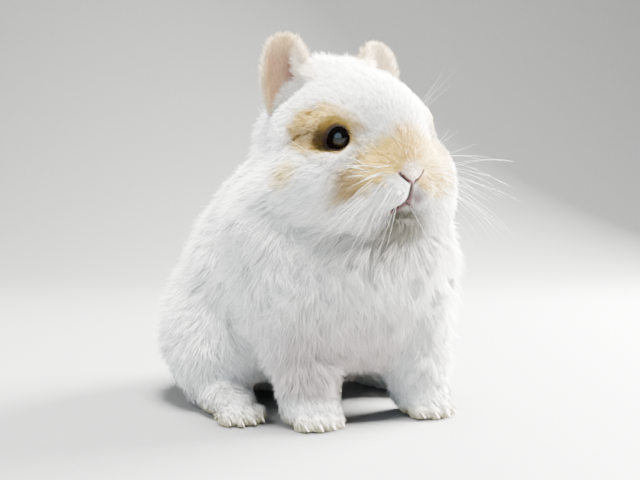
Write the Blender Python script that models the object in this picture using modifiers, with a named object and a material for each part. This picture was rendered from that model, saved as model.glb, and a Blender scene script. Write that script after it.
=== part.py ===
"""A life-size model of a young dwarf rabbit, sitting up on its front legs.

Metres, +Z up. The rabbit faces -Y, its own right side is at -X, and all its feet
rest on z = 0. The head is turned a little to its left and tipped slightly down.
The solids follow the outside of the coat. They are grown as one soft body from
rounded forms, then parted with thin cuts into head, neck, torso, legs and tail.
"""

import math
import random

import bmesh
import bpy
import numpy as np
from mathutils import Euler, Matrix, Vector
from mathutils.bvhtree import BVHTree

MM = 0.001
GAP = 0.3  # mm, what touching pieces keep between them
SLIVER = 0.06  # mm, the shortest edge kept after the cuts

# Driving sizes, in mm
HEAD_CENTRE = (5.0, -20.0, 101.0)
HEAD_YAW = 14.0  # degrees to its own left
HEAD_PITCH = -9.0  # degrees, nose down
HEAD_ROLL = -5.0  # degrees, left ear up
EYE_RADIUS = 6.0
EYE_SURFACE = (22.2, -17.4, 5.4)  # front of the left eye, in the head's frame
EYE_AXIS = (0.82, -0.56, 0.08)
EARS = {  # root and tip in the head's frame, and degrees its opening turns to its own left
    "left": ((17.6, 12.5, 6.0), (23.4, 12.5, 39.6), -14.0),
    "right": ((-20.0, 13.5, 6.0), (-22.2, 15.6, 40.8), -37.0),
}
EAR_HALF_WIDTH = 9.8
EAR_BLUNTNESS = 0.17  # 0 is egg-shaped, more is squarer at the tip
EAR_WALL = 2.4
VOXEL = 1.0
FINE_TRIANGLES = 9000
BODY_TRIANGLES = 4300
HEAD_CUT = ((2, -12, 88), (31, 0, 6))  # a point of the plane in mm, and its turn
NECK_CUT = ((1, -8, 72), (24, 0, 3))

# Locks of the coat on neck, chest, flanks, back and haunches, in mm
LOCK_SPACING = 12.2
LOCK_LENGTH = (24.0, 29.0)  # shortest and longest
LOCK_WIDTH = (15.0, 19.0)
LOCK_THICKNESS = 3.2
LOCK_STATIONS = (0.0, 0.4, 0.78)  # shares of the length; the tip is at 1
LOCK_WIDTHS = (0.7, 1.0, 0.6)
LOCK_HEIGHTS = (-0.9, 1.9, 2.9)  # of the ridge over the core
LOCK_TIP_HEIGHT = 3.2
LOCK_CURL = 22.0  # degrees, most that a lock turns aside along its length
CORE_DEPTH = 2.2  # how far the core lies under the outside of the coat there
SEED = 14

COLOURS = {  # base colour, roughness
    "coat": ((0.86, 0.85, 0.83), 0.9),
    "ear": ((0.80, 0.70, 0.58), 0.9),
    "eye": ((0.015, 0.012, 0.014), 0.08),
}

# Rounded forms: centre, half sizes, turn about X, Y and Z in degrees.
# Those of the head are in the head's own frame. A form off the middle is for the
# left side and is mirrored to the right.
HEAD_FORMS = {
    "cranium": ((0, 9, 7), (30.5, 27, 25), (0, 0, 0)),
    "forehead": ((0, -8, 9), (26, 20.5, 18.5), (0, 0, 0)),
    "cheek": ((20, -10.5, -10.5), (19.5, 19, 17), (0, 0, 0)),
    "temple": ((17, 1.5, 3), (15.8, 14, 11), (0, 0, 0)),
    "crown": ((8.5, 12, 20.8), (9.5, 11, 11.6), (0, 0, 0)),
    "bridge": ((0, -18, 0), (14, 12.5, 11.5), (0, 0, 0)),
    "whisker_pad": ((9.0, -21.5, -10), (12, 10, 9.2), (0, 0, 0)),
    "nose": ((0, -27.5, -7.5), (4.6, 4.6, 4.2), (0, 0, 0)),
    "chin": ((0, -15.3, -20.5), (9.5, 9.5, 7.5), (0, 0, 0)),
    "jaw": ((0, -4, -18), (22, 20, 13), (0, 0, 0)),
}
BODY_FORMS = {
    "rump": ((0, 30, 38), (49, 41, 38), (0, 0, 0)),
    "back": ((0, 15, 56), (47, 41, 39), (0, 0, 0)),
    "chest": ((4, -18, 55), (46.5, 29, 38), (0, 0, 0)),
    "scruff": ((1, 2, 80), (39.5, 34, 29), (0, 0, 0)),
    "ruff": ((6, -14, 77), (40, 26, 22), (0, 0, 0)),
    "thigh": ((37, 24, 27), (19, 31, 25), (0, 0, 0)),
}
TAIL_FORMS = {"tail": ((0, 70, 22), (11.5, 13, 13.5), (25, 0, 0))}
HIND_FOOT_FORMS = {  # off the foot's own spot on the floor
    "hock": ((0, 15, 12), (11, 16, 13), (0, 0, 0)),
    "foot": ((0, 0, 6), (9.8, 22, 7.5), (0, 0, 0)),
}
HIND_FOOT_SPOTS = {"left": (44.0, 7.0), "right": (-40.0, -1.0)}
FORELEG_FORMS = {  # off the foot's own spot on the floor
    "shoulder": ((0, 9, 36), (15, 15, 20), (0, 0, 0)),
    "shin": ((0, 4, 18), (11.8, 11.8, 19), (0, 0, 0)),
    "paw": ((0, 0.5, 6), (11.0, 10.5, 7), (0, 0, 0)),
}
FOREPAW_SPOTS = {"left": (28.0, -34.0), "right": (-18.0, -33.0)}
FOREPAW_TOES = ((-6.9, 1.8), (-2.4, -0.4), (2.4, -0.4), (6.9, 1.8))
HIND_TOES = ((-6.2, 2.0), (-2.2, -0.4), (2.2, -0.4), (6.2, 2.0))
TOE_SIZE = (2.9, 5.6, 4.4)
FOREPAW_REACH = -7.0  # from the foot's spot to the middle of its toes
HIND_FOOT_REACH = -20.5
HEAD_BLEND = 3.3  # how softly the forms run together, in mm
BODY_BLEND = 5.0
LEG_BLEND = 2.0
TOE_BLEND = 0.6
JOIN_BLEND = 2.6


def clear_scene():
    for thing in list(bpy.data.objects):
        bpy.data.objects.remove(thing)


def head_matrix():
    turn = (
        Matrix.Rotation(math.radians(HEAD_YAW), 4, "Z")
        @ Matrix.Rotation(math.radians(-HEAD_PITCH), 4, "X")
        @ Matrix.Rotation(math.radians(HEAD_ROLL), 4, "Y")
    )
    return Matrix.Translation(Vector(HEAD_CENTRE) * MM) @ turn


def turned(degrees):
    return Euler([math.radians(a) for a in degrees]).to_matrix().to_4x4()


def mirrored(vector, side):
    return Vector((vector[0] * side, vector[1], vector[2]))


def link(obj, collection):
    for holder in list(obj.users_collection):
        holder.objects.unlink(obj)
    collection.objects.link(obj)
    return obj


def new_collection(name):
    made = bpy.data.collections.new(name)
    bpy.context.scene.collection.children.link(made)
    return made


def material(name):
    colour, roughness = COLOURS[name]
    made = bpy.data.materials.new(name)
    made.use_nodes = True
    shader = made.node_tree.nodes["Principled BSDF"]
    shader.inputs["Base Color"].default_value = (*colour, 1)
    shader.inputs["Roughness"].default_value = roughness
    shader.inputs["Metallic"].default_value = 0.0
    return made


def mesh_object(name, mesh, collection):
    made = bpy.data.objects.new(name, mesh)
    collection.objects.link(made)
    return made


def ellipsoid(name, matrix, half_sizes, collection, segments=32):
    """A closed rounded form with the given half sizes in mm."""
    mesh = bpy.data.meshes.new(name)
    form = bmesh.new()
    bmesh.ops.create_uvsphere(form, u_segments=segments, v_segments=segments // 2, radius=1.0)
    form.transform(matrix @ Matrix.Diagonal([s * MM for s in half_sizes]).to_4x4())
    form.to_mesh(mesh)
    form.free()
    return mesh_object(name, mesh, collection)


def box(name, matrix, low, high, collection):
    mesh = bpy.data.meshes.new(name)
    form = bmesh.new()
    bmesh.ops.create_cube(form, size=1.0)
    centre = (Vector(low) + Vector(high)) / 2 * MM
    size = (Vector(high) - Vector(low)) * MM
    form.transform(matrix @ Matrix.Translation(centre) @ Matrix.Diagonal(size).to_4x4())
    form.to_mesh(mesh)
    form.free()
    return mesh_object(name, mesh, collection)


def evaluated_mesh(obj):
    graph = bpy.context.evaluated_depsgraph_get()
    return bpy.data.meshes.new_from_object(obj.evaluated_get(graph))


def apply_modifiers(obj):
    mesh = evaluated_mesh(obj)
    obj.modifiers.clear()
    obj.data = mesh
    return obj


def boolean(obj, operation, other, solver="MANIFOLD"):
    step = obj.modifiers.new(operation, "BOOLEAN")
    step.operation = operation
    step.solver = solver
    if isinstance(other, bpy.types.Collection):
        step.operand_type = "COLLECTION"
        step.collection = other
    else:
        step.object = other
    return apply_modifiers(obj)


def copy_of(obj, name, collection):
    made = obj.copy()
    made.data = obj.data.copy()
    made.name = name
    collection.objects.link(made)
    return made


def placed_forms(table, frame, spot=None):
    """Each form as (matrix, half sizes); one off the middle has a twin on the other side."""
    placed = []
    for centre, half_sizes, turn in table.values():
        sides = (1,) if spot or abs(centre[0]) < half_sizes[0] * 0.25 else (1, -1)
        for side in sides:
            at = mirrored(centre, side) + Vector((*(spot or (0, 0)), 0))
            spin = turned((turn[0], turn[1] * side, turn[2] * side))
            placed.append((frame @ Matrix.Translation(at * MM) @ spin, half_sizes))
    return placed


def placed_toes():
    placed = []
    for spots, row, reach in (
        (FOREPAW_SPOTS, FOREPAW_TOES, FOREPAW_REACH),
        (HIND_FOOT_SPOTS, HIND_TOES, HIND_FOOT_REACH),
    ):
        for x, y in spots.values():
            for across, back in row:
                at = Vector((x + across, y + reach + back, 3.2)) * MM
                placed.append((Matrix.Translation(at), TOE_SIZE))
    return placed


def form_groups():
    """The forms of head, body, legs and toes, each with how softly they run together."""
    flat = Matrix.Identity(4)
    legs = placed_forms(TAIL_FORMS, flat)
    for spot in HIND_FOOT_SPOTS.values():
        legs += placed_forms(HIND_FOOT_FORMS, flat, spot)
    for spot in FOREPAW_SPOTS.values():
        legs += placed_forms(FORELEG_FORMS, flat, spot)
    return (
        (placed_forms(HEAD_FORMS, head_matrix()), HEAD_BLEND),
        (placed_forms(BODY_FORMS, flat), BODY_BLEND),
        (legs, LEG_BLEND),
        (placed_toes(), TOE_BLEND),
    )


def soft_least(fields, blend):
    least = fields.min(axis=0)
    return least - blend * np.log(np.exp((least - fields) / blend).sum(axis=0))


def depth_field(points, groups):
    """Rough distance in mm from each point (metres) to the soft body; negative inside."""
    joined_fields = []
    for forms, blend in groups:
        fields = []
        for matrix, half_sizes in forms:
            inverse = np.array(matrix.inverted())
            local = (points @ inverse[:3, :3].T + inverse[:3, 3]) / MM
            sizes = np.array(half_sizes)
            near = np.linalg.norm(local / sizes, axis=1)
            slope = np.linalg.norm(local / sizes**2, axis=1)
            fields.append(near * (near - 1.0) / np.maximum(slope, 1e-6))
        joined_fields.append(soft_least(np.array(fields), blend))
    toes = joined_fields.pop()
    soft = soft_least(np.array(joined_fields), JOIN_BLEND)
    return soft_least(np.array([soft, toes]), TOE_BLEND)


def eased(values, low, high):
    share = np.clip((values - low) / (high - low), 0.0, 1.0)
    return share * share * (3.0 - 2.0 * share)


def locked_share(points):
    """Where the coat is long enough for locks: 1 on neck, torso and haunches, 0 on face and feet."""
    at, turn = HEAD_CUT
    upward = np.array(turned(turn).to_3x3().col[2])
    over_cut = (points / MM - np.array(at)) @ upward
    below_head = 1.0 - eased(over_cut, -1.0, 4.0)
    front = 1.0 - eased(points[:, 1] / MM, -22.0, -8.0)
    floor_of_locks = 22.0 + 18.0 * front
    height = points[:, 2] / MM
    above_feet = eased(height, floor_of_locks, floor_of_locks + 9.0)
    behind = 1.0 - eased(points[:, 1] / MM, 58.0, 63.0) * (1.0 - eased(height, 36.0, 42.0))
    return below_head * above_feet * behind


def settle(mesh, groups, rounds=5):
    """Moves every vertex onto the soft body's surface, or under it where locks will lie."""
    count = len(mesh.vertices)
    flat = np.empty(count * 3)
    mesh.vertices.foreach_get("co", flat)
    points = flat.reshape(-1, 3)
    step = 0.05 * MM
    for _ in range(rounds):
        value = depth_field(points, groups)
        sunk = CORE_DEPTH * locked_share(points)
        slope = np.empty_like(points)
        for axis in range(3):
            moved = points.copy()
            moved[:, axis] += step
            slope[:, axis] = (depth_field(moved, groups) - value) / (step / MM)
        size = np.maximum((slope**2).sum(axis=1), 0.05)
        push = np.clip((value + sunk) / size, -2.5, 2.5)
        points = points - slope * push[:, None] * MM
    mesh.vertices.foreach_set("co", points.ravel())
    mesh.update()


def joined(collection, name, target):
    """All the meshes of a collection as one object with loose, overlapping shells."""
    merged = bmesh.new()
    for piece in list(collection.objects):
        merged.from_mesh(piece.data)
        bpy.data.objects.remove(piece)
    mesh = bpy.data.meshes.new(name)
    merged.to_mesh(mesh)
    merged.free()
    return mesh_object(name, mesh, target)


def remeshed(obj, voxel):
    fuse = obj.modifiers.new("fuse", "REMESH")
    fuse.mode = "VOXEL"
    fuse.voxel_size = voxel * MM
    apply_modifiers(obj)


def grown_body(target):
    """The soft body: rounded forms fused, then drawn onto their blended surface."""
    groups = form_groups()
    parts = new_collection("forms")
    for forms, _ in groups:
        for matrix, half_sizes in forms:
            ellipsoid("form", matrix, half_sizes, parts)
    body = joined(parts, "body", target)
    bpy.data.collections.remove(parts)
    remeshed(body, VOXEL * 1.6)
    settle(body.data, groups, 8)
    remeshed(body, VOXEL)
    settle(body.data, groups)
    return body


def floor_cut(body, helpers):
    below = box("below", Matrix.Identity(4), (-90, -90, -40), (90, 110, 0), helpers)
    boolean(body, "DIFFERENCE", below)


def decimated(body, triangles, group=""):
    body.data.calc_loop_triangles()
    thin = body.modifiers.new("thin", "DECIMATE")
    thin.ratio = min(1.0, triangles / len(body.data.loop_triangles))
    thin.vertex_group = group
    apply_modifiers(body)


def thinned(body):
    """Fewer triangles all over, then fewer still away from the face and the toes."""
    decimated(body, FINE_TRIANGLES)
    to_head = head_matrix().inverted()
    group = body.vertex_groups.new(name="plain")
    for vertex in body.data.vertices:
        face = (to_head @ vertex.co / MM - Vector((0, -22, -4))).length
        fine = face < 33 or vertex.co.z / MM < 11
        weight = 0.6 if fine else 0.9 if (to_head @ vertex.co).length < 44 * MM else 1.0
        group.add([vertex.index], weight, "REPLACE")
    decimated(body, BODY_TRIANGLES, "plain")


def hide_helpers(helpers):
    for obj in helpers.objects:
        obj.hide_render = True
        obj.display_type = "WIRE"


def eye_frame(side):
    """A matrix at the eyeball's centre, with +Z along the way the eye looks."""
    axis = mirrored(EYE_AXIS, side).normalized()
    centre = mirrored(EYE_SURFACE, side) - axis * EYE_RADIUS
    turn = axis.to_track_quat("Z", "Y").to_matrix().to_4x4()
    return head_matrix() @ Matrix.Translation(centre * MM) @ turn


def eye_hollows(body, helpers):
    """A shallow dish for each eye, a raised rim of lid round it, and the eyeball's seat."""
    for side in (1, -1):
        frame = eye_frame(side)
        dish_at = frame @ Matrix.Translation((0, 0, (EYE_RADIUS + 1.4) * MM))
        dish = ellipsoid("dish", dish_at, (6.7, 5.9, 4.2), helpers, 20)
        boolean(body, "DIFFERENCE", dish)
        lid = lid_ring(frame, helpers)
        boolean(body, "UNION", lid)
        seat = ellipsoid("seat", frame, (EYE_RADIUS + GAP,) * 3, helpers, 20)
        boolean(body, "DIFFERENCE", seat)


def lid_ring(frame, helpers):
    ring = bpy.data.meshes.new("lid")
    form = bmesh.new()
    around, tube = 20, 6
    half_length, half_height, thick = 5.5, 5.0, 1.15
    rows = []
    for i in range(around):
        a = 2 * math.pi * i / around
        mid = Vector((half_length * math.cos(a), half_height * math.sin(a), 0))
        out = mid.normalized()
        rows.append(
            [
                form.verts.new(
                    (mid + out * thick * math.cos(b) + Vector((0, 0, thick * math.sin(b)))) * MM
                )
                for b in (2 * math.pi * j / tube for j in range(tube))
            ]
        )
    for i in range(around):
        one, two = rows[i], rows[(i + 1) % around]
        for j in range(tube):
            k = (j + 1) % tube
            form.faces.new((one[j], two[j], two[k], one[k]))
    bmesh.ops.recalc_face_normals(form, faces=form.faces)
    form.transform(frame @ Matrix.Translation((0, 0, 4.2 * MM)))
    form.to_mesh(ring)
    form.free()
    return mesh_object("lid", ring, helpers)


def on_face(tree, x, z, lift=0.0):
    """The point of the face straight ahead of (x, z) in the head's frame, in mm."""
    frame = head_matrix()
    start = frame @ (Vector((x, -80, z)) * MM)
    way = (frame.to_3x3() @ Vector((0, 1, 0))).normalized()
    hit = tree.ray_cast(start, way)[0]
    return (frame.inverted() @ hit) / MM + Vector((0, -lift, 0))


def groove(name, points, radius, helpers):
    """A round-ended cutter along points given in the head's frame."""
    curve = bpy.data.curves.new(name, "CURVE")
    curve.dimensions = "3D"
    curve.bevel_depth = radius * MM
    curve.bevel_resolution = 1
    curve.use_fill_caps = True
    line = curve.splines.new("POLY")
    line.points.add(len(points) - 1)
    for spot, point in zip(line.points, points):
        spot.co = (*(head_matrix() @ (Vector(point) * MM)), 1)
        middle = abs(line.points[:].index(spot) / (len(points) - 1) - 0.5) * 2
        spot.radius = 1.0 - 0.45 * middle**2
    guide = mesh_object(name, curve, helpers)
    mesh = evaluated_mesh(guide)
    form = bmesh.new()
    form.from_mesh(mesh)
    bmesh.ops.remove_doubles(form, verts=form.verts, dist=0.00001)
    bmesh.ops.recalc_face_normals(form, faces=form.faces)
    form.to_mesh(mesh)
    form.free()
    made = mesh_object(name + "_cutter", mesh, helpers)
    made.matrix_world = guide.matrix_world
    bpy.data.objects.remove(guide)
    return made


def mouth_and_nostrils(body, helpers):
    """The cleft under the nose, the line of the lips, and two slanting nostrils."""
    tree = BVHTree.FromObject(body, bpy.context.evaluated_depsgraph_get())
    cleft = [on_face(tree, 0, z) for z in (-9.5, -11.5, -13.5, -15.5, -17.0)]
    lips = [
        on_face(tree, x, -16.0 - 0.18 * abs(x) ** 1.25)
        for x in (-8.5, -6.5, -4.5, -2.2, 0.0, 2.2, 4.5, 6.5, 8.5)
    ]
    for name, points, radius in (("cleft", cleft, 0.9), ("lips", lips, 1.4)):
        boolean(body, "DIFFERENCE", groove(name, points, radius, helpers))
    for side in (1, -1):
        nostril = [on_face(tree, side * x, z) for x, z in ((0.7, -9.2), (2.4, -7.9), (4.2, -6.4))]
        boolean(body, "DIFFERENCE", groove("nostril", nostril, 1.0, helpers))


def part_node(body, name, region, collection):
    """Cuts one node out of the body with a closed region, and leaves a thin gap round it."""
    node = copy_of(body, name, collection)
    boolean(node, "INTERSECT", region)
    wide = copy_of(region, name + "_wide", region.users_collection[0])
    swell = wide.modifiers.new("gap", "DISPLACE")
    swell.mid_level = 0.0
    swell.strength = GAP * MM
    apply_modifiers(wide)
    boolean(body, "DIFFERENCE", wide)
    keep_largest(node)
    return node


def comb(point, normal):
    """The lie of the coat: back and down along the flanks, straight down on the chest."""
    front = max(0.0, min(1.0, -normal.y * 1.6))
    rear = max(0.0, min(1.0, (normal.y - 0.4) * 2.0))
    lie = Vector((0, 0.8, -0.6)) * (1 - front) * (1 - rear)
    lie += Vector((0, -0.05, -1)) * front + Vector((0, 0.1, -1)) * rear
    lie -= normal * lie.dot(normal)
    return lie.normalized()


def lock(tree, root, normal, dice, locks):
    """One flat, pointed lock that follows the body from its sunk root to its free tip."""
    length = dice.uniform(*LOCK_LENGTH)
    width = dice.uniform(*LOCK_WIDTH)
    curl = math.radians(dice.uniform(-LOCK_CURL, LOCK_CURL))
    spot, up = root, normal
    way = Matrix.Rotation(-curl * 0.5, 3, up) @ comb(spot, up)
    form = bmesh.new()
    rings = []
    last = 0.0
    for share, wide, high in zip(LOCK_STATIONS, LOCK_WIDTHS, LOCK_HEIGHTS):
        if share > last:
            spot, up = tree.find_nearest(spot + way * (share - last) * length * MM)[:2]
            way = Matrix.Rotation(curl * (share - last), 3, up) @ way
            way = (way - up * way.dot(up)).normalized()
            last = share
        side = way.cross(up)
        thick = LOCK_THICKNESS * (1.0 if share < 0.5 else 1.25 - 0.75 * share)
        ridge = spot + up * high * MM
        edge = side * (width * wide / 2) * MM
        drop = up * thick * MM
        rings.append([form.verts.new(v) for v in (ridge, ridge + edge - drop, ridge - edge - drop)])
    spot, up = tree.find_nearest(spot + way * (1.0 - last) * length * MM)[:2]
    tip = form.verts.new(spot + up * LOCK_TIP_HEIGHT * MM)
    for one, two in zip(rings, rings[1:]):
        for i in range(3):
            j = (i + 1) % 3
            form.faces.new((one[i], one[j], two[j], two[i]))
    for i in range(3):
        form.faces.new((rings[-1][i], rings[-1][(i + 1) % 3], tip))
    form.faces.new(rings[0][::-1])
    bmesh.ops.triangulate(form, faces=form.faces)
    bmesh.ops.recalc_face_normals(form, faces=form.faces)
    mesh = bpy.data.meshes.new("lock")
    form.to_mesh(mesh)
    form.free()
    mesh_object("lock", mesh, locks)


def surface_spots(body, dice):
    """Evenly spread spots with their normals, where the coat has locks."""
    body.data.calc_loop_triangles()
    corners = body.data.vertices
    triangles = [t for t in body.data.loop_triangles if t.normal.z > -0.45]
    centres = np.array([t.center for t in triangles])
    share = locked_share(centres)
    triangles = [t for t, locked in zip(triangles, share) if locked > 0.45]
    weights = [t.area for t in triangles]
    kept = []
    for triangle in dice.choices(triangles, weights, k=9000):
        a, b = sorted((dice.random(), dice.random()))
        one, two, three = (corners[i].co for i in triangle.vertices)
        spot = one * a + two * (b - a) + three * (1 - b)
        if all((spot - other).length > LOCK_SPACING * MM for other, _ in kept):
            kept.append((spot, triangle.normal.copy()))
    return kept


def with_locks(body, helpers):
    """Fuses the locks to the body, roots sunk in."""
    dice = random.Random(SEED)
    tree = BVHTree.FromObject(body, bpy.context.evaluated_depsgraph_get())
    locks = new_collection("locks")
    for spot, normal in surface_spots(body, dice):
        lock(tree, spot, normal, dice, locks)
    print("locks:", len(locks.objects))
    boolean(body, "UNION", locks)
    for obj in list(locks.objects):
        bpy.data.objects.remove(obj)
    bpy.data.collections.remove(locks)
    keep_largest(body)


def keep_largest(obj):
    """Keeps the largest closed surface, and drops the loose scraps that a cut leaves."""
    form = bmesh.new()
    form.from_mesh(obj.data)
    left = set(form.faces)
    shells = []
    while left:
        stack = [left.pop()]
        shell = set(stack)
        while stack:
            for edge in stack.pop().edges:
                if len(edge.link_faces) != 2:
                    continue
                for face in edge.link_faces:
                    if face in left:
                        left.discard(face)
                        shell.add(face)
                        stack.append(face)
        shells.append(shell)
    largest = max(shells, key=lambda shell: sum(face.calc_area() for face in shell))
    drop = [face for shell in shells if shell is not largest for face in shell]
    bmesh.ops.delete(form, geom=drop, context="FACES")
    form.to_mesh(obj.data)
    form.free()


def ear_point(spot, length):
    """Where a spot of the unit sphere goes on a cupped, egg-shaped ear, in the ear's frame."""
    x, y, z = spot
    u = (z + 1) / 2
    blunt = max(1.0 - z * z, 0.001) ** -EAR_BLUNTNESS
    across = EAR_HALF_WIDTH * x * blunt * (1.10 - 0.26 * u)
    cup = 6.8 + 6.5 * u
    angle = across / cup
    off = math.copysign(abs(y) ** 0.45, y) * EAR_WALL / 2
    middle = -cup + (cup + off) * math.cos(angle) + 2.0 * u * u
    return Vector(((cup + off) * math.sin(angle), middle, u * length))


def ear(word, collection):
    root, tip, opens = EARS[word]
    root, tip = Vector(root), Vector(tip)
    mesh = bpy.data.meshes.new(f"ear_{word}")
    form = bmesh.new()
    bmesh.ops.create_uvsphere(form, u_segments=22, v_segments=14, radius=1.0)
    for vertex in form.verts:
        vertex.co = ear_point(vertex.co, (tip - root).length) * MM
    up = (tip - root).normalized()
    turn = math.radians(opens)
    back = Vector((-math.sin(turn), math.cos(turn), 0))
    back = (back - up * back.dot(up)).normalized()
    axes = Matrix((back.cross(up), back, up)).transposed().to_4x4()
    form.transform(head_matrix() @ Matrix.Translation(root * MM) @ axes)
    bmesh.ops.recalc_face_normals(form, faces=form.faces)
    form.to_mesh(mesh)
    form.free()
    return mesh_object(f"ear_{word}", mesh, collection)


def without_slivers(obj):
    """Merges the cuts' tiny edges, then keeps flat-sided triangles throughout."""
    form = bmesh.new()
    form.from_mesh(obj.data)
    bmesh.ops.triangulate(form, faces=form.faces[:])
    bmesh.ops.dissolve_degenerate(form, dist=SLIVER * MM, edges=form.edges[:])
    bmesh.ops.triangulate(form, faces=form.faces[:])
    form.to_mesh(obj.data)
    form.free()
    keep_largest(obj)


def swollen(obj, by, helpers):
    """A copy of obj whose surface stands out by a few tenths of a mm."""
    made = copy_of(obj, obj.name + "_swollen", helpers)
    swell = made.modifiers.new("swell", "DISPLACE")
    swell.mid_level = 0.0
    swell.strength = by * MM
    return apply_modifiers(made)


def centred(nodes):
    """Moves all nodes together, so the origin is under the middle of their shared box."""
    spots = [v.co for node in nodes for v in node.data.vertices]
    middle = [(min(s[i] for s in spots) + max(s[i] for s in spots)) / 2 for i in (0, 1)]
    for node in nodes:
        node.data.transform(Matrix.Translation((-middle[0], -middle[1], 0)))
    print("origin shift in mm:", [round(-m / MM, 3) for m in middle])


def finish(obj, look):
    obj.data.materials.clear()
    obj.data.materials.append(look)
    obj.data.shade_smooth()


def main():
    clear_scene()
    rabbit = new_collection("dwarf_rabbit")
    helpers = new_collection("cutters")
    looks = {name: material(name) for name in COLOURS}
    body = grown_body(helpers)
    thinned(body)
    with_locks(body, helpers)
    floor_cut(body, helpers)
    mouth_and_nostrils(body, helpers)
    eye_hollows(body, helpers)

    nodes = {}
    for name, (at, turn) in (("head", HEAD_CUT), ("neck", NECK_CUT)):
        place = Matrix.Translation(Vector(at) * MM) @ turned(turn)
        above = box("above", place, (-80, -80, 0), (80, 80, 90), helpers)
        nodes[name] = part_node(body, name, above, rabbit)
    tail_at = Matrix.Translation(Vector((0, 79, 23)) * MM)
    behind = ellipsoid("behind", tail_at, (16, 14, 19), helpers, 16)
    nodes["tail"] = part_node(body, "tail", behind, rabbit)
    for side, word in ((1, "left"), (-1, "right")):
        spot = Matrix.Translation(Vector((*FOREPAW_SPOTS[word], 0)) * MM)
        nodes[f"forepaw_{word}"] = part_node(
            body,
            f"forepaw_{word}",
            box("paw", spot @ turned((-10, 0, 0)), (-14, -24, -20), (14, 14, 10.8), helpers),
            rabbit,
        )
        leg_at = spot @ Matrix.Translation((0, 4 * MM, 0))
        leg = ellipsoid("leg", leg_at, (16, 20, 36), helpers, 16)
        nodes[f"foreleg_{word}"] = part_node(body, f"foreleg_{word}", leg, rabbit)
        x, y = HIND_FOOT_SPOTS[word]
        foot_at = Matrix.Translation(Vector((x, y + 3, 1)) * MM)
        foot = ellipsoid("foot", foot_at, (16, 36, 13), helpers, 16)
        nodes[f"hind_foot_{word}"] = part_node(body, f"hind_foot_{word}", foot, rabbit)
        thigh_at = Matrix.Translation(Vector((side * 44, 20, 26)) * MM)
        thigh = ellipsoid("thigh_region", thigh_at, (24, 36, 30), helpers, 20)
        nodes[f"thigh_{word}"] = part_node(body, f"thigh_{word}", thigh, rabbit)
    keep_largest(body)
    body.name = "torso"
    nodes["torso"] = link(body, rabbit)

    head_room = swollen(nodes["head"], GAP, helpers)
    for side, word in ((1, "left"), (-1, "right")):
        shell = ear(word, rabbit)
        boolean(shell, "DIFFERENCE", head_room)
        keep_largest(shell)
        nodes[f"ear_{word}"] = shell
        ball = ellipsoid(f"eye_{word}", eye_frame(side), (EYE_RADIUS,) * 3, rabbit, 16)
        nodes[f"eye_{word}"] = ball

    hide_helpers(helpers)
    for node in nodes.values():
        without_slivers(node)
    centred(nodes.values())
    for name, node in nodes.items():
        look = "eye" if name.startswith("eye") else "ear" if name.startswith("ear") else "coat"
        finish(node, looks[look])


main()
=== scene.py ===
import math

import bmesh
import bpy
import numpy as np
from mathutils import Euler, Matrix, Vector
from mathutils.bvhtree import BVHTree


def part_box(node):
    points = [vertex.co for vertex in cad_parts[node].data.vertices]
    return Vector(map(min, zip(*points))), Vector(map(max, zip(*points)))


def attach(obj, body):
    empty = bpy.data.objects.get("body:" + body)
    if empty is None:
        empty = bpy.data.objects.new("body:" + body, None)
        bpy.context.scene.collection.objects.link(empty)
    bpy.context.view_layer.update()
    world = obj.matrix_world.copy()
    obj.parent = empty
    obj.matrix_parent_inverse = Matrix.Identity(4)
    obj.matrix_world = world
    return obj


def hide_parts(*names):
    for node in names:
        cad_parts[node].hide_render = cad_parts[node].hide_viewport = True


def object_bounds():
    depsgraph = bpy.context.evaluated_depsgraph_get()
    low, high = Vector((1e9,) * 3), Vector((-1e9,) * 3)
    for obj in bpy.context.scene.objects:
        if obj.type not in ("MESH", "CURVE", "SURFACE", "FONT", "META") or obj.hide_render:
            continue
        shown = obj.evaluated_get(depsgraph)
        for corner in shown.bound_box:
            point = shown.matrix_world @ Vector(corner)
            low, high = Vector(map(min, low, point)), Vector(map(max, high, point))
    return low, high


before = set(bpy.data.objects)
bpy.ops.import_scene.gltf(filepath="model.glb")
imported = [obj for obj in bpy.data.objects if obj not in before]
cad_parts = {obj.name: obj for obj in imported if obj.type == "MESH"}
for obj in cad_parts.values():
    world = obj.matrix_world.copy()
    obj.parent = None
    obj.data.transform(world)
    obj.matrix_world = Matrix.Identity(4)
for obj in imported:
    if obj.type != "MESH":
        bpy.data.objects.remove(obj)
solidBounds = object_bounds()
mm = 0.001

# The rabbit's forms, in mm, as the solids have them: centre, half sizes, turn in degrees
head = {"centre": (5.0, -20.0, 101.0), "yaw": 14.0, "pitch": -9.0, "roll": -5.0}
headCut = {"at": (2, -12, 88), "turn": (31, 0, 6)}
headForms = {
    "cranium": ((0, 9, 7), (30.5, 27, 25)),
    "forehead": ((0, -8, 9), (26, 20.5, 18.5)),
    "cheek": ((20, -10.5, -10.5), (19.5, 19, 17)),
    "temple": ((17, 1.5, 3), (15.8, 14, 11)),
    "crown": ((8.5, 12, 20.8), (9.5, 11, 11.6)),
    "bridge": ((0, -18, 0), (14, 12.5, 11.5)),
    "whiskerPad": ((9.0, -21.5, -10), (12, 10, 9.2)),
    "nose": ((0, -27.5, -7.5), (4.6, 4.6, 4.2)),
    "chin": ((0, -15.3, -20.5), (9.5, 9.5, 7.5)),
    "jaw": ((0, -4, -18), (22, 20, 13)),
}
bodyForms = {
    "rump": ((0, 30, 38), (49, 41, 38)),
    "back": ((0, 15, 56), (47, 41, 39)),
    "chest": ((4, -18, 55), (46.5, 29, 38)),
    "scruff": ((1, 2, 80), (39.5, 34, 29)),
    "ruff": ((6, -14, 77), (40, 26, 22)),
    "collar": ((31, -20, 75), (13, 13, 13)),
    "thigh": ((37, 24, 27), (19, 31, 25)),
}
tailForms = {"tail": ((0, 70, 22), (11.5, 13, 13.5), (25, 0, 0))}
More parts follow.
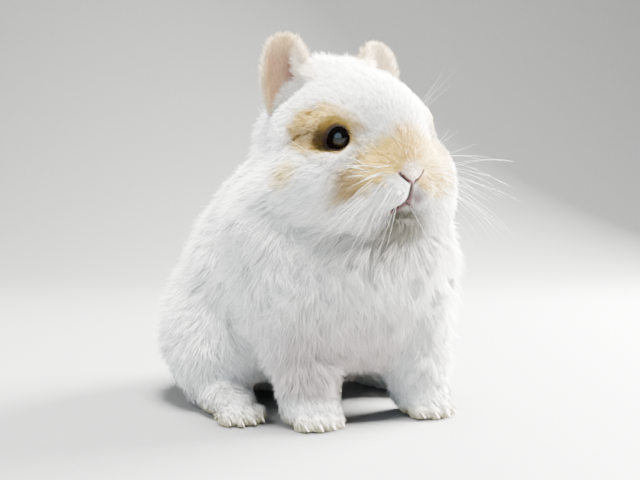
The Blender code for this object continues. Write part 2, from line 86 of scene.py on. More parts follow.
hindFootForms = {
    "hock": ((0, 15, 12), (11, 16, 13)),
    "foot": ((0, 0, 6), (9.8, 22, 7.5)),
}
forelegForms = {
    "shoulder": ((0, 9, 36), (15, 15, 20)),
    "shin": ((0, 4, 18), (11.8, 11.8, 19)),
    "paw": ((0, 0.5, 6), (11.0, 10.5, 7)),
}
hindFeet = {
    "spots": ((44.0, 7.0), (-40.0, -1.0)),
    "reach": -20.5,
    "toes": ((-6.2, 2.0), (-2.2, -0.4), (2.2, -0.4), (6.2, 2.0)),
}
forepaws = {
    "spots": ((28.0, -34.0), (-18.0, -33.0)),
    "reach": -7.0,
    "toes": ((-6.9, 1.8), (-2.4, -0.4), (2.4, -0.4), (6.9, 1.8)),
}
toe = {"halfSizes": (2.9, 5.6, 4.4), "height": 3.2}
blends = {"head": 3.3, "body": 5.0, "legs": 2.0, "toes": 0.6, "joins": 4.0}
eye = {"radius": 6.0, "surface": (22.2, -17.4, 5.4), "axis": (0.82, -0.56, 0.08)}
ears = {  # root and tip in the head's frame, degrees the opening turns to the rabbit's left
    "left": ((17.6, 12.5, 6.0), (23.4, 12.5, 39.6), -14.0),
    "right": ((-20.0, 13.5, 6.0), (-22.2, 15.6, 40.8), -37.0),
}
earShape = {"halfWidth": 9.8, "bluntness": 0.17, "wall": 1.2, "short": 1.0, "rings": (72, 44)}
earShape |= {"cup": (6.8, 6.5), "lean": 2.0, "taper": (1.10, -0.26)}


def turned(degrees):
    return Euler([math.radians(a) for a in degrees]).to_matrix().to_4x4()


headTurn = (
    Matrix.Rotation(math.radians(head["yaw"]), 4, "Z")
    @ Matrix.Rotation(math.radians(-head["pitch"]), 4, "X")
    @ Matrix.Rotation(math.radians(head["roll"]), 4, "Y")
)
headFrame = Matrix.Translation(Vector(head["centre"]) * mm) @ headTurn


def mirrored(vector, side):
    return Vector((vector[0] * side, vector[1], vector[2]))


def eyeFrame(side):
    axis = mirrored(eye["axis"], side).normalized()
    centre = mirrored(eye["surface"], side) - axis * eye["radius"]
    turn = axis.to_track_quat("Z", "Y").to_matrix().to_4x4()
    return headFrame @ Matrix.Translation(centre * mm) @ turn


def earFrame(word):
    root, tip, opens = ears[word]
    root, tip = Vector(root), Vector(tip)
    up = (tip - root).normalized()
    turn = math.radians(opens)
    back = Vector((-math.sin(turn), math.cos(turn), 0))
    back = (back - up * back.dot(up)).normalized()
    axes = Matrix((back.cross(up), back, up)).transposed().to_4x4()
    return headFrame @ Matrix.Translation(root * mm) @ axes, (tip - root).length


# the forms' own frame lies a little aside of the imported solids' frame
low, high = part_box("eye_left")
shift = np.array((low + high) / 2 - eyeFrame(1).translation)
shift[2] = 0.0
print("shift of the forms in mm:", (shift / mm).round(3))


def local(points, matrix):
    inverse = np.array(matrix.inverted())
    return (points @ inverse[:3, :3].T + inverse[:3, 3]) / mm


def eased(values, low, high):
    share = np.clip((values - low) / (high - low), 0.0, 1.0)
    return share * share * (3.0 - 2.0 * share)


def faded(values, low, high):
    return 1.0 - eased(values, low, high)


def bump(values, middle, width):
    return np.exp(-(((values - middle) / width) ** 2))


def away(points, spot, sizes=1.0):
    return np.linalg.norm((points - np.array(spot)) / sizes, axis=1)


def mixed(one, two, share):
    one, two = np.asarray(one), np.asarray(two)
    if max(one.ndim, two.ndim) == 2 or (3,) in (one.shape, two.shape):
        share = share[:, None]
    return one * (1.0 - share) + two * share


def layered(value, *layers):
    for other, share in layers:
        value = mixed(value, other, share)
    return value


def placedForms(table, frameOf, spot=None):
    placed = []
    for centre, halfSizes, *turn in table.values():
        sides = (1,) if spot or abs(centre[0]) < halfSizes[0] * 0.25 else (1, -1)
        for side in sides:
            at = mirrored(centre, side) + Vector((*(spot or (0, 0)), 0))
            spin = turned(turn[0]) if turn else flat
            placed.append((frameOf @ Matrix.Translation(at * mm) @ spin, halfSizes))
    return placed


def toeSpots():
    for foot in (forepaws, hindFeet):
        for x, y in foot["spots"]:
            for across, back in foot["toes"]:
                yield Vector((x + across, y + foot["reach"] + back, toe["height"])) * mm


flat = Matrix.Identity(4)
legForms = placedForms(tailForms, flat)
for table, foot in ((hindFootForms, hindFeet), (forelegForms, forepaws)):
    for spot in foot["spots"]:
        legForms += placedForms(table, flat, spot)
formGroups = (
    (placedForms(headForms, headFrame), blends["head"]),
    (placedForms(bodyForms, flat), blends["body"]),
    (legForms, blends["legs"]),
    ([(Matrix.Translation(at), toe["halfSizes"]) for at in toeSpots()], blends["toes"]),
)


def softLeast(fields, blend):
    least = fields.min(axis=0)
    return least - blend * np.log(np.exp((least - fields) / blend).sum(axis=0))


def bodyField(points):
    # rough distance in mm from each point to the outside of the coat, negative inside
    merged = []
    for forms, blend in formGroups:
        fields = []
        for matrix, halfSizes in forms:
            at, sizes = local(points, matrix), np.array(halfSizes)
            near = np.linalg.norm(at / sizes, axis=1)
            slope = np.linalg.norm(at / sizes**2, axis=1)
            fields.append(near * (near - 1.0) / np.maximum(slope, 1e-6))
        merged.append(softLeast(np.array(fields), blend))
    toes = merged.pop()
    soft = softLeast(np.array(merged), blends["joins"])
    return softLeast(np.array([soft, toes]), blends["toes"])


def overHeadCut(points):
    upward = np.array(turned(headCut["turn"]).to_3x3().col[2])
    return (points / mm - np.array(headCut["at"])) @ upward


skinDepth = {"body": 5.4, "feet": 1.5, "head": 3.0, "earHollow": 3.8, "muzzle": 0.8, "eyes": 0.6}
muzzleSpot = np.array((0.0, -30.0, -9.0))


def eyeDistance(headPoints):
    spots = [mirrored(eye["surface"], side) for side in (1, -1)]
    return np.min([away(headPoints, spot) for spot in spots], axis=0)


def earHollow(points):
    # 1 in front of an ear's cup, where the brow gives way to it
    most = np.zeros(len(points))
    for word in ears:
        place, length = earFrame(word)
        x, y, z = local(points, place).T
        share = faded(np.abs(x), 5.5, 9.5) * (eased(-y, -1.5, 1.0) * faded(-y, 6.0, 10.0))
        most = np.maximum(most, share * eased(z / length, 0.12, 0.35))
    return most


def coatDepth(points):
    # how far the skin lies under the outside of the coat, in mm
    atHead = local(points, headFrame)
    body = mixed(skinDepth["feet"], skinDepth["body"], eased(points[:, 2] / mm, 8, 34))
    nearNose = eased(away(atHead, muzzleSpot), 7, 34)
    crown = mixed(skinDepth["muzzle"], skinDepth["head"], nearNose)
    crown = mixed(skinDepth["eyes"], crown, eased(eyeDistance(atHead), 6.0, 13.0))
    crown = crown + skinDepth["earHollow"] * earHollow(points)
    return mixed(body, crown, eased(overHeadCut(points), -4, 6))


def readAll(items, field, width=3, kind=float):
    found = np.empty(len(items) * width, dtype=kind)
    items.foreach_get(field, found)
    return found.reshape(-1, width) if width > 1 else found


def getPoints(mesh):
    return readAll(mesh.vertices, "co")


def setPoints(mesh, points):
    mesh.vertices.foreach_set("co", np.ascontiguousarray(points).ravel())
    mesh.update()


def getNormals(mesh):
    return readAll(mesh.vertex_normals, "vector")


def settle(mesh, rounds, sunk=True):
    # draws every vertex onto the skin's surface inside the coat
    points = getPoints(mesh)
    step = 0.05 * mm
    for _ in range(rounds):
        value = bodyField(points)
        slope = np.empty_like(points)
        for axis in range(3):
            moved = points.copy()
            moved[:, axis] += step
            slope[:, axis] = (bodyField(moved) - value) / (step / mm)
        depth = coatDepth(points) if sunk else 0.0
        size = np.maximum((slope**2).sum(axis=1), 0.05)
        push = np.clip((value + depth) / size, -2.0, 2.0)
        points = points - slope * push[:, None] * mm
    setPoints(mesh, points)


def newObject(name, mesh):
    made = bpy.data.objects.new(name, mesh)
    bpy.context.scene.collection.objects.link(made)
    return made


def bakedMesh(obj):
    bpy.context.view_layer.update()
    graph = bpy.context.evaluated_depsgraph_get()
    mesh = bpy.data.meshes.new_from_object(obj.evaluated_get(graph))
    obj.modifiers.clear()
    return mesh


def formObject(name, form, finish=None, smooth=True):
    mesh = bpy.data.meshes.new(name)
    form.to_mesh(mesh)
    form.free()
    if finish:
        mesh.materials.append(finish)
        if smooth:
            mesh.shade_smooth()
    return newObject(name, mesh)


def fusedBall(obj, voxel):
    fuse = obj.modifiers.new("fuse", "REMESH")
    fuse.mode, fuse.voxel_size = "VOXEL", voxel * mm
    obj.data = bakedMesh(obj)


def grownSkin():
    form = bmesh.new()
    for forms, _ in formGroups:
        for matrix, halfSizes in forms:
            placed = matrix @ Matrix.Diagonal([s * mm for s in halfSizes]).to_4x4()
            bmesh.ops.create_uvsphere(form, u_segments=32, v_segments=16, radius=1.0, matrix=placed)
    skin = formObject("skin", form)
    fusedBall(skin, 1.6)
    settle(skin.data, 7, sunk=False)
    fusedBall(skin, 1.25)
    settle(skin.data, 6)
    return skin


def refined(skin, inside, rounds=2):
    # halves the edges where inside(points in the head's frame) holds
    points = local(getPoints(skin.data), headFrame)
    fine = inside(points)
    form = bmesh.new()
    form.from_mesh(skin.data)
    form.verts.ensure_lookup_table()
    edges = [e for e in form.edges if fine[e.verts[0].index] and fine[e.verts[1].index]]
    bmesh.ops.subdivide_edges(form, edges=edges, cuts=1, use_grid_fill=True)
    bmesh.ops.triangulate(form, faces=[f for f in form.faces if len(f.verts) > 4])
    form.to_mesh(skin.data)
    form.free()
    settle(skin.data, rounds)


def lineDistance(points, line):
    # distance from each point to a polyline, and how far along it, 0 to 1
    best = np.full(len(points), 1e9)
    along = np.zeros(len(points))
    for i, (one, two) in enumerate(zip(line, line[1:])):
        one, two = np.array(one), np.array(two)
        way = two - one
        share = np.clip((points - one) @ way / (way @ way), 0, 1)
        gap = np.linalg.norm(points - one - share[:, None] * way, axis=1)
        nearer = gap < best
        best = np.where(nearer, gap, best)
        along = np.where(nearer, (i + share) / (len(line) - 1), along)
    return best, along


def lipLine(x):
    return x - 1.4, -16.4 - 0.62 * abs(x) ** 1.08


grooves = (  # points (x, z) in the head's frame, depth, half width at both ends, tone of its rim
    (((-1.2, -9.8), (-1.3, -13.0), (-1.5, -16.6)), 2.4, 0.5, 1.4, "lips"),  # the cleft
    ([lipLine(x) for x in np.linspace(-4.4, 4.0, 9)], 1.8, 0.5, 0.5, "lips"),
    (((-5.0, -19.4), (-3.0, -18.0), (-1.6, -17.0)), 4.4, 1.5, 1.5, "lips"),  # the mouth
    (((-0.6, -9.6), (1.6, -8.1), (4.4, -5.7)), 1.7, 0.5, 0.5, "flesh"),  # the nostrils
    (((-1.8, -9.6), (-3.9, -8.0), (-6.3, -6.1)), 2.2, 0.7, 0.7, "flesh"),
)
padShape = {"bulge": 1.9, "underLip": 2.4, "middle": -1.3}
lids = {"halfLength": 4.25, "halfHeight": 4.15, "rim": 0.2, "stand": 0.18, "under": 1.2}
lids |= {"over": 0.22, "most": 2.6}
# degrees round the eye, from the nose, how wide each is, and how far it goes out or in
lidCorner = {"at": 218.0, "width": 24.0, "out": 0.26}
lidSlope = {"at": 148.0, "width": 26.0, "in": 0.07}


def grooveGaps(points):
    # distance from each groove as seen from the front, how far along it, its half width,
    # depth and tone
    for spots, depth, start, end, tone in grooves:
        gap, along = lineDistance(points[:, ::2], spots)
        gap = gap + np.maximum(points[:, 1] + 24.0, 0.0)
        yield gap, along, start + (end - start) * along, depth, tone


def lidOut(x, y, side):
    # 1 on the edge of the lids: a leaning rounded triangle with its corner behind and below
    angle = np.degrees(np.arctan2(y, -side * x)) % 360
    corner = lidCorner["out"] * bump(angle, lidCorner["at"], lidCorner["width"])
    slope = lidSlope["in"] * bump(angle, lidSlope["at"], lidSlope["width"])
    return np.hypot(x / lids["halfLength"], y / lids["halfHeight"]) / (1 + corner - slope)


def lidShare(points, start, stop):
    # 1 inside the edge of the lids, fading between two multiples of its size
    most = np.zeros(len(points))
    for side in (1, -1):
        x, y, z = local(points, eyeFrame(side)).T
        most = np.maximum(most, faded(lidOut(x, y, side), start, stop) * (z > 0))
    return most


def carveFace(skin):
    # mouth line, cleft, nostrils, and the lids round each eyeball
    points = local(getPoints(skin.data), headFrame)
    normals = getNormals(skin.data) @ np.array(headFrame.to_3x3())
    move = np.zeros(len(points))
    for gap, along, width, depth, _ in grooveGaps(points):
        fade = 1.0 - 0.55 * np.abs(along * 2 - 1) ** 2
        move = np.minimum(move, -depth * fade * bump(gap, 0.0, width))
    x, z = np.abs(points[:, 0] - padShape["middle"]), points[:, 2]
    front = faded(points[:, 1], -26, -16)
    pad = bump(x, 6.6, 4.6) * bump(z, -13.6, 3.7) * front
    under = bump(x, 0.0, 9.0) * bump(z, -21.0, 2.8) * front
    move = move + padShape["bulge"] * pad - padShape["underLip"] * under
    points = points + normals * move[:, None]
    for side in (1, -1):
        toEye = np.array((headFrame.inverted() @ eyeFrame(side)))
        centre, axes = toEye[:3, 3] / mm, toEye[:3, :3]
        at = (points - centre) @ axes
        out = lidOut(at[:, 0], at[:, 1], side)
        flatOut = np.hypot(at[:, 0], at[:, 1]) / np.maximum(out, 1.0)  # held at the rim
        ball = np.sqrt(eye["radius"] ** 2 - flatOut**2)
        near = (at[:, 2] > 0) & (out < lids["most"])
        rim = mixed(ball - lids["under"], ball + lids["over"], eased(out, 0.94, 1.04))
        at[:, 2] = np.where(near, mixed(rim, at[:, 2], eased(out, 1.04, 1.8)), at[:, 2])
        points = np.where(near[:, None], at @ axes.T + centre, points)
    frameNow = np.array(headFrame)
    setPoints(skin.data, points * mm @ frameNow[:3, :3].T + frameNow[:3, 3])


def earCup(u):
    # at a share of an ear's length: radius of its cup, how far it leans back, and its taper
    cup, taper = earShape["cup"], earShape["taper"]
    return cup[0] + cup[1] * u, earShape["lean"] * u * u, taper[0] + taper[1] * u


def earPoint(spot, length, wall):
    # where a spot of the unit sphere goes on a cupped, egg-shaped ear
    x, y, z = spot
    u = (z + 1) / 2
    cup, lean, taper = earCup(u)
    blunt = max(1.0 - z * z, 0.001) ** -earShape["bluntness"]
    angle = (earShape["halfWidth"] - 0.9) * x * blunt * taper / cup
    off = math.copysign(abs(y) ** 0.45, y) * wall / 2
    middle = -cup + (cup + off) * math.cos(angle) + lean
    return Vector(((cup + off) * math.sin(angle), middle, u * length))


def earShell(word):
    form = bmesh.new()
    rings, rows = earShape["rings"]
    bmesh.ops.create_uvsphere(form, u_segments=rings, v_segments=rows, radius=1.0)
    place, length = earFrame(word)
    for vertex in form.verts:
        vertex.co = earPoint(vertex.co, length - earShape["short"], earShape["wall"]) * mm
    form.transform(place)
    bmesh.ops.recalc_face_normals(form, faces=form.faces)
    return formObject("ear_" + word, form)


def joinEars(skin):
    for word in ears:
        shell = earShell(word)
        step = skin.modifiers.new("ear", "BOOLEAN")
        step.operation, step.solver, step.object = "UNION", "MANIFOLD", shell
        skin.data = bakedMesh(skin)
        bpy.data.objects.remove(shell)


def aboveFloor(mesh, least):
    # nothing hangs below the floor
    points = getPoints(mesh)
    points[:, 2] = np.maximum(points[:, 2], least * mm)
    setPoints(mesh, points)


def triangles(mesh):
    mesh.calc_loop_triangles()
    return len(mesh.loop_triangles)


def onFront(p):
    return (p[:, 1] < -2) & (np.abs(p[:, 0]) < 34) & (p[:, 2] > -28) & (p[:, 2] < 20)


def byMouthOrEyes(p):
    return (away(p, (0, -29, -11)) < 13) | (eyeDistance(p) < 9.5)


print("skin: growing")
skin = grownSkin()
refined(skin, onFront)
refined(skin, byMouthOrEyes)
carveFace(skin)
joinEars(skin)
aboveFloor(skin.data, 0.2)
print("skin triangles:", triangles(skin.data))

# Colours as linear red, green and blue, by the parts that have them
tones = {
    "white": (0.86, 0.85, 0.82),
    "patch": (0.12, 0.076, 0.024),
    "patchEdge": (0.40, 0.26, 0.055),
    "smut": (0.80, 0.53, 0.088),
    "smutSide": (0.33, 0.215, 0.072),
    # the same fawn painted darker on the rabbit's left, against the window light there
    "smutDimmedForLight": (0.52, 0.355, 0.062),
    "bridge": (0.62, 0.40, 0.075),
    # painted shade: the chin tone darkens the fur in the shade under the muzzle
    "chin": (0.155, 0.140, 0.108),
    # painted shade: the throat tone darkens the fur in the shade under the head
    "throat": (0.40, 0.38, 0.32),
    # painted shade: the underside tone darkens the fur in the shade under the chest and between the
    # forelegs
    "undersideShade": (0.50, 0.43, 0.41),
    "spot": (0.60, 0.44, 0.13),
    "noseTip": (0.95, 0.76, 0.60),
    "earBack": (0.84, 0.62, 0.33),
    "earRim": (0.62, 0.40, 0.24),
    "earCup": (0.27, 0.125, 0.100),
    "toes": (0.88, 0.78, 0.44),
    # the pad's inner face beside the cleft: its own mauve-pink, darkened with painted shade
    "lipSideTintAndShade": (0.24, 0.165, 0.175),
    "earFringe": (0.92, 0.80, 0.62),
    # painted light: the far ear's cup paler, as if light shone through it
    "farEarPaintedGlow": (1.0, 0.84, 0.60),
    # painted shadow: the mouth tone darkens the fur at the mouth's corner
    "mouth": (0.05, 0.036, 0.034),
    "flesh": (0.26, 0.105, 0.095),
    "lips": (0.15, 0.075, 0.075),
    # painted shade down the middle of the cleft, mouth line, mouth and nostrils
    "grooveShade": (0.022, 0.010, 0.010),
    "lid": (0.06, 0.035, 0.03),
}
frontSpots = {  # by tone: strength, middle and size (x, z), and the y between which it ends
    # mauve-pink with painted shade on the pad's face beside the cleft
    "lipSideTintAndShade": (1.0, (1.4, -14.4), (3.0, 3.4), (-20.0, -19.9)),
    # painted shade under the muzzle and lower lip
    "chin": (1.35, (0.0, -24.5), (12.0, 7.5), (-20.0, -8.0)),
    # painted shadow at the mouth's corner
    "mouth": (1.2, (-2.9, -18.0), (2.6, 1.7), (-20.0, -19.9)),
}


def fringeShare(medial, rise):
    # the long pale hair along the inner rim, which covers more of the cup lower down
    start = 0.05 + 0.65 * rise
    return eased(medial, start, start + 0.35)


def earShares(points, normals):
    # for each point: whether it is ear, how far up, whether it is inside the cup, how near
    # the rim and the inner rim, and the lie and facing of its hair
    ear = {name: np.zeros(len(points)) for name in ("share", "rise", "inner", "edge", "medial")}
    ear |= {"lie": np.zeros_like(points), "faced": normals.copy()}
    free = (local(points, headFrame)[:, 2] > 24) | (bodyField(points) > -2.4)
    power = 0.5 - earShape["bluntness"]
    for word, side in (("left", 1.0), ("right", -1.0)):
        place, length = earFrame(word)
        axes = np.array(place)[:3, :3]
        x, y, z = local(points, place).T
        u = z / length
        cup, lean, taper = earCup(np.clip(u, 0, 1))
        fromAxis = y + cup - lean
        radius = np.hypot(x, fromAxis)
        here = (np.abs(radius - cup) < 2.2) & (u > -0.05) & (u < 1.08) & free
        wide = earShape["halfWidth"] * np.clip(1 - (2 * u - 1) ** 2, 0.001, 1) ** power * taper
        off = np.arctan2(x, fromAxis) * cup / wide  # 0 in the middle, 1 and -1 at the edges
        facing = normals @ axes
        outward = (facing[:, 0] * x + facing[:, 1] * fromAxis) / np.maximum(radius, 1e-6)
        cupped = outward < -0.1
        medial = np.clip(-side * off, -1.2, 1.2)
        aside = np.sign(x) * eased(np.abs(off), 0.55, 1.0) * 0.9
        aside = np.where(cupped, mixed(aside, side * 0.9, fringeShare(medial, u)), aside)
        fringe = np.maximum(eased(np.abs(off), 0.6, 0.95), eased(u, 0.8, 1.0))
        front = axes[:, 2] * 0.6 - axes[:, 1] * 0.8 + aside[:, None] * axes[:, 0] * 0.4
        found = {
            "share": np.ones(len(points)),
            "rise": u,
            "inner": cupped * 1.0,
            "edge": np.clip(np.abs(off), 0, 1.2),
            "medial": medial,
            "lie": axes[:, 2] + aside[:, None] * axes[:, 0],
            "faced": mixed(normals, front, fringe),
        }
        for name, values in found.items():
            ear[name][here] = values[here]
    return ear


def swirls(points, wavelength, seed):
    # a smooth random field, about -1 to 1, whose waves are so many mm long
    dice = np.random.default_rng(seed)
    field = np.zeros(len(points))
    for _ in range(7):
        way = dice.normal(size=3)
        way *= 2 * math.pi / (wavelength * dice.uniform(0.7, 1.4)) / np.linalg.norm(way)
        field += np.sin(points / mm @ way + dice.uniform(0, 2 * math.pi))
    return field / 2.6


def markings(points, ear):
    # the colour of the coat
    at = local(points, headFrame)
    left, y, z = at.T
    x = np.abs(left)
    onHead, onLeft = eased(overHeadCut(points), -3, 5), eased(left, -2, 2)
    wobble = 0.16 * np.sin(left * 0.9 + z * 0.7) + 0.12 * np.sin(z * 1.3 - y * 0.8)
    colour = np.tile(tones["white"], (len(points), 1))

    def paint(tone, share):
        nonlocal colour
        colour = mixed(colour, tones[tone] if isinstance(tone, str) else tone, share)

    # the patch round each eye, darker behind the eye
    slant = z - 7.6 - 0.12 * (y + 13)
    patch = away(np.stack([x, y, slant], axis=1), (25, -13.5, 0), (20, 13, 9.3)) + 0.3 * wobble
    streak = np.hypot((y + 12) / 9.0, (z - 6.0) / 3.4) + 0.15 * wobble
    patchTone = mixed(tones["patch"], tones["patchEdge"], eased(streak, 0.2, 1.9))
    paint(patchTone, onHead * faded(patch, 0.74, 1.28))
    # the fawn of the muzzle, which reaches lower on the rabbit's left and is painted darker there,
    # a painted shade against the strong window light on that side
    above = mixed(9.8 - 0.52 * x, 9.0 - 0.32 * x, onLeft) - z
    rightEnd, leftEnd = -6.4 - 0.52 * np.maximum(x - 7.7, 0), np.maximum(-9.5 - 0.7 * x, -15.5)
    below = z - mixed(rightEnd, leftEnd, onLeft)
    smut = eased(above + 4 * wobble, -3.5, 3.5) * eased(below + 4 * wobble, -2.0, 2.5)
    smut = smut * faded(x, 25, 32) * faded(y, -20, -12) * onHead
    smutTone = mixed(tones["smut"], tones["smutDimmedForLight"], onLeft)
    smutTone = mixed(smutTone, tones["smutSide"], eased(x + 3 * wobble, 14, 23))
    paint(mixed(smutTone, tones["bridge"], faded(x, 2, 9)), 0.95 * smut)
    # mauve with painted shade beside the cleft, painted shade under the chin, and a painted shadow
    # at the mouth's corner
    for tone, (strength, middle, size, ends) in frontSpots.items():
        spot = bump(left, middle[0], size[0]) * bump(z, middle[1], size[1]) * faded(y, *ends)
        paint(tone, np.clip(strength * spot, 0, 1))
    # painted shade on the throat and under the chest between the forelegs, then the nose, a small
    # spot on the right cheek, and the lids
    across, back, up = (points / mm).T
    # painted shade on the throat, below and behind the head
    throatShade = bump(across, 8, 24) * bump(up, 68, 9) * faded(back, -26, -10)
    paint("throat", 0.8 * throatShade * (1 - onHead))
    # painted shade under the chest, strongest between the forelegs a little to the rabbit's right
    under = faded(up, 30, 58) * eased(up, 8, 15) * faded(back, -24, 10)
    paint("undersideShade", 0.95 * under * (0.15 + 0.85 * faded(np.abs(across + 7), 14, 30)))
    paint("noseTip", faded(away(at, (-1, -34, -6), (4.4, 6, 3.1)), 0.6, 1.25))
    paint("spot", 0.85 * faded(away(at, (-36, -10, -6.7), 5.5), 0.4, 1.4))
    paint("lid", 0.85 * lidShare(points, 1.08, 1.34))
    # the ears; the far one's cup painted paler, painted light standing in for light shining through
    # it
    rise, medial = ear["rise"], ear["medial"]
    core = bump(medial, 0.24, 0.34) * bump(rise, 0.58, 0.22)
    cup = layered(
        tones["earRim"],
        (tones["earCup"], core),
        (tones["earBack"], eased(rise, 0.74, 0.94)),
        (tones["earBack"], eased(-medial, 0.75, 0.95)),
        (tones["earFringe"], fringeShare(medial, rise)),
        (tones["farEarPaintedGlow"], onLeft),
    )
    outside = mixed(tones["white"], tones["earBack"], 0.8 * eased(rise, 0.10, 0.45))
    paint("earFringe", 0.6 * earHollow(points))
    paint(mixed(outside, cup, ear["inner"]), ear["share"])
    paint("toes", 0.85 * faded(up, 2.0, 6.5) * faded(back, -4, 14))
    return colour


def skinTones(points, colour):
    # the coat's colour with the grooves' rim tones, painted shade down each groove, and darker lids
    at = local(points, headFrame)
    for gap, _, width, _, tone in grooveGaps(at):
        colour = mixed(tones[tone], colour, eased(gap, width * 1.1, width * 1.8))
    # painted shade, darkest in the middle of each groove
    for gap, along, width, *_ in grooveGaps(at):
        dark = faded(gap, width * 0.6, width * 1.5) * (1 - 0.6 * np.abs(along * 2 - 1) ** 6)
        colour = mixed(colour, tones["grooveShade"], dark)
    return mixed(colour, tones["lid"], lidShare(points, 1.06, 1.2))


coat = {  # lengths in mm, the rest as shares: how far the hair stands off, how its lie wanders
    "body": 10.0,
    "crown": 5.6,
    "brow": 4.2,
    "muzzle": 2.2,
    "inGrooves": 0.22,
    "byEyes": 1.6,
    "patch": 3.2,
    "byEars": 2.6,
    "feet": 3.2,
    "earBack": 2.8,
    "earCup": 2.2,
    "earRim": 3.0,
    "bodyLift": 0.36,
    "faceLift": 0.3,
    "earLift": 0.75,
    "footLift": 0.28,
    "fluffLift": 0.45,
    "fluffLength": 0.5,
    "napeFlat": 0.65,
    "napeShort": 0.4,
    "earFringe": 5.0,
    "bodySwirl": 0.42,
    "headSwirl": 0.16,
    "twist": 0.7,
    "skinShade": 0.92,
}


def combedLie(points, normals, ear):
    # the way the hair lies: down and back, out from the nose, and up the ears
    at, over, up = local(points, headFrame), overHeadCut(points), points[:, 2] / mm
    front = np.clip(-normals[:, 1] * 1.6, 0, 1)[:, None]
    rear = np.clip((normals[:, 1] - 0.4) * 2.0, 0, 1)[:, None]
    lie = np.array((0, 0.8, -0.6)) * ((1 - front) * (1 - rear))
    lie = lie + np.array((0, -0.05, -1.0)) * front + np.array((0, 0.1, -1.0)) * rear
    footed = faded(up, 7, 18)
    lie = mixed(lie, (0, -0.8, -0.6), footed)
    lie = mixed(lie, (0, 0.7, 0.5), eased(-away(points / mm, (0, 72, 23)), -19, -14))
    fromNose = at - np.array((0, -36, -5))
    fromNose /= np.linalg.norm(fromNose, axis=1)[:, None]
    cheek = eased(np.abs(at[:, 0]), 12, 28)[:, None]
    faceLie = fromNose + np.array((0, 0.35, 0)) - np.array((0, 0, 0.45)) * cheek
    lie = mixed(lie, faceLie @ np.array(headFrame.to_3x3()).T, eased(over, -16, 6))
    lie = mixed(lie, ear["lie"] + 0.25 * normals, ear["share"])
    lie = lie - normals * (lie * normals).sum(axis=1)[:, None]
    lie /= np.maximum(np.linalg.norm(lie, axis=1), 1e-6)[:, None]
    calm = np.maximum(eased(over, -5, 7), footed)
    wander = mixed(coat["bodySwirl"], coat["headSwirl"], calm) * (1 - 0.6 * ear["share"])
    wander = (wander * (0.6 * swirls(points, 16, 3) + 0.5 * swirls(points, 7, 4)))[:, None]
    return lie * np.cos(wander) + np.cross(normals, lie) * np.sin(wander)


def coatFields(points, ear):
    # the length and lift of the hair, and where there is any
    at, over, up = local(points, headFrame), overHeadCut(points), points[:, 2] / mm
    onHead, fromEye = eased(over, -5, 7), eyeDistance(at)
    fromMuzzle = away(at, muzzleSpot)
    headLength = layered(
        coat["muzzle"],
        (coat["brow"], eased(fromMuzzle, 8, 22)),
        (coat["crown"], eased(fromMuzzle, 24, 46)),
        (coat["patch"], faded(fromEye, 15.0, 26.0)),
        (coat["byEyes"], faded(fromEye, 6.0, 12.0)),
    )
    for word in ears:
        atEar = local(points, earFrame(word)[0])
        gap = np.hypot(atEar[:, 0] * 0.8, atEar[:, 1] + 5.0)
        headLength = mixed(coat["byEars"], headLength, eased(gap, 9, 15))
    cover = np.ones(len(points))
    for gap, _, width, *_ in grooveGaps(at):
        headLength = headLength * mixed(coat["inGrooves"], 1.0, eased(gap - width, 0.0, 3.0))
        cover *= eased(gap, width * 0.9, width * 1.8)
    length = mixed(mixed(coat["feet"], coat["body"], eased(up, 7, 34)), headLength, onHead)
    share, rise, inner, edge = (ear[name] for name in ("share", "rise", "inner", "edge"))
    fringe = inner * fringeShare(ear["medial"], rise)
    earLength = layered(
        coat["earBack"],
        (coat["earCup"], inner),
        (coat["earRim"], eased(edge, 0.72, 0.95)),
        (coat["earFringe"], fringe * (1 - 0.5 * eased(rise, 0.7, 1.0))),
    )
    length = mixed(length, earLength, share)
    lift = mixed(coat["footLift"], coat["bodyLift"], eased(up, 7, 30))
    lift = mixed(lift, coat["faceLift"], onHead)
    behind = eased(at[:, 1], 6, 20)
    fluff = bump(over, 12.0, 6.5) * behind  # below and behind the ears
    nape = bump(over, -6.0, 7.5) * behind  # sleek, where head and back meet
    lift = (lift + coat["fluffLift"] * fluff) * (1 - coat["napeFlat"] * nape)
    longer = coat["fluffLength"] * fluff - coat["napeShort"] * nape
    length = length * (1 + longer * (1 - share))
    lift = mixed(lift, coat["earLift"], share * eased(edge, 0.6, 0.95))
    cover *= 1 - lidShare(points, 0.99, 1.05)
    cover *= eased(up, 0.3, 1.0)
    cover *= np.where((share > 0) & (inner > 0), 0.45 + 0.45 * fringe, 1.0)
    return length * mm, lift, cover


def store(mesh, name, values, colour=False):
    # one number, vector or colour for each vertex
    values = np.asarray(values, dtype=np.float32)
    kind, field = ("FLOAT", "value") if values.ndim == 1 else ("FLOAT_VECTOR", "vector")
    if colour:
        kind, field, values = "FLOAT_COLOR", "color", np.insert(values, 3, 1.0, axis=1)
    mesh.attributes.new(name, kind, "POINT").data.foreach_set(field, values.ravel())


print("coat: combing")
points, normals = getPoints(skin.data), getNormals(skin.data)
ear = earShares(points, normals)
hairLength, lift, cover = coatFields(points, ear)
hairTone = markings(points, ear)
fields = {
    "lie": combedLie(points, normals, ear),
    "outward": normals,
    "faced": ear["faced"],
    "hairLength": hairLength,
    "lift": lift,
    "cover": cover,
}
for name, values in fields.items():
    store(skin.data, name, values)
store(skin.data, "tone", hairTone, colour=True)
store(skin.data, "skinTone", skinTones(points, hairTone * coat["skinShade"]), colour=True)


def socketOf(sockets, key):
    if isinstance(key, int):
        return sockets[key]
    return next(s for s in sockets if s.name == key and s.enabled)


def wire(made, wires):
    # links or sets inputs of a node
    for key, value in wires.items():
        socket = socketOf(made.inputs, key)
        if isinstance(value, bpy.types.NodeSocket):
            made.id_data.links.new(value, socket)
        else:
            socket.default_value = value


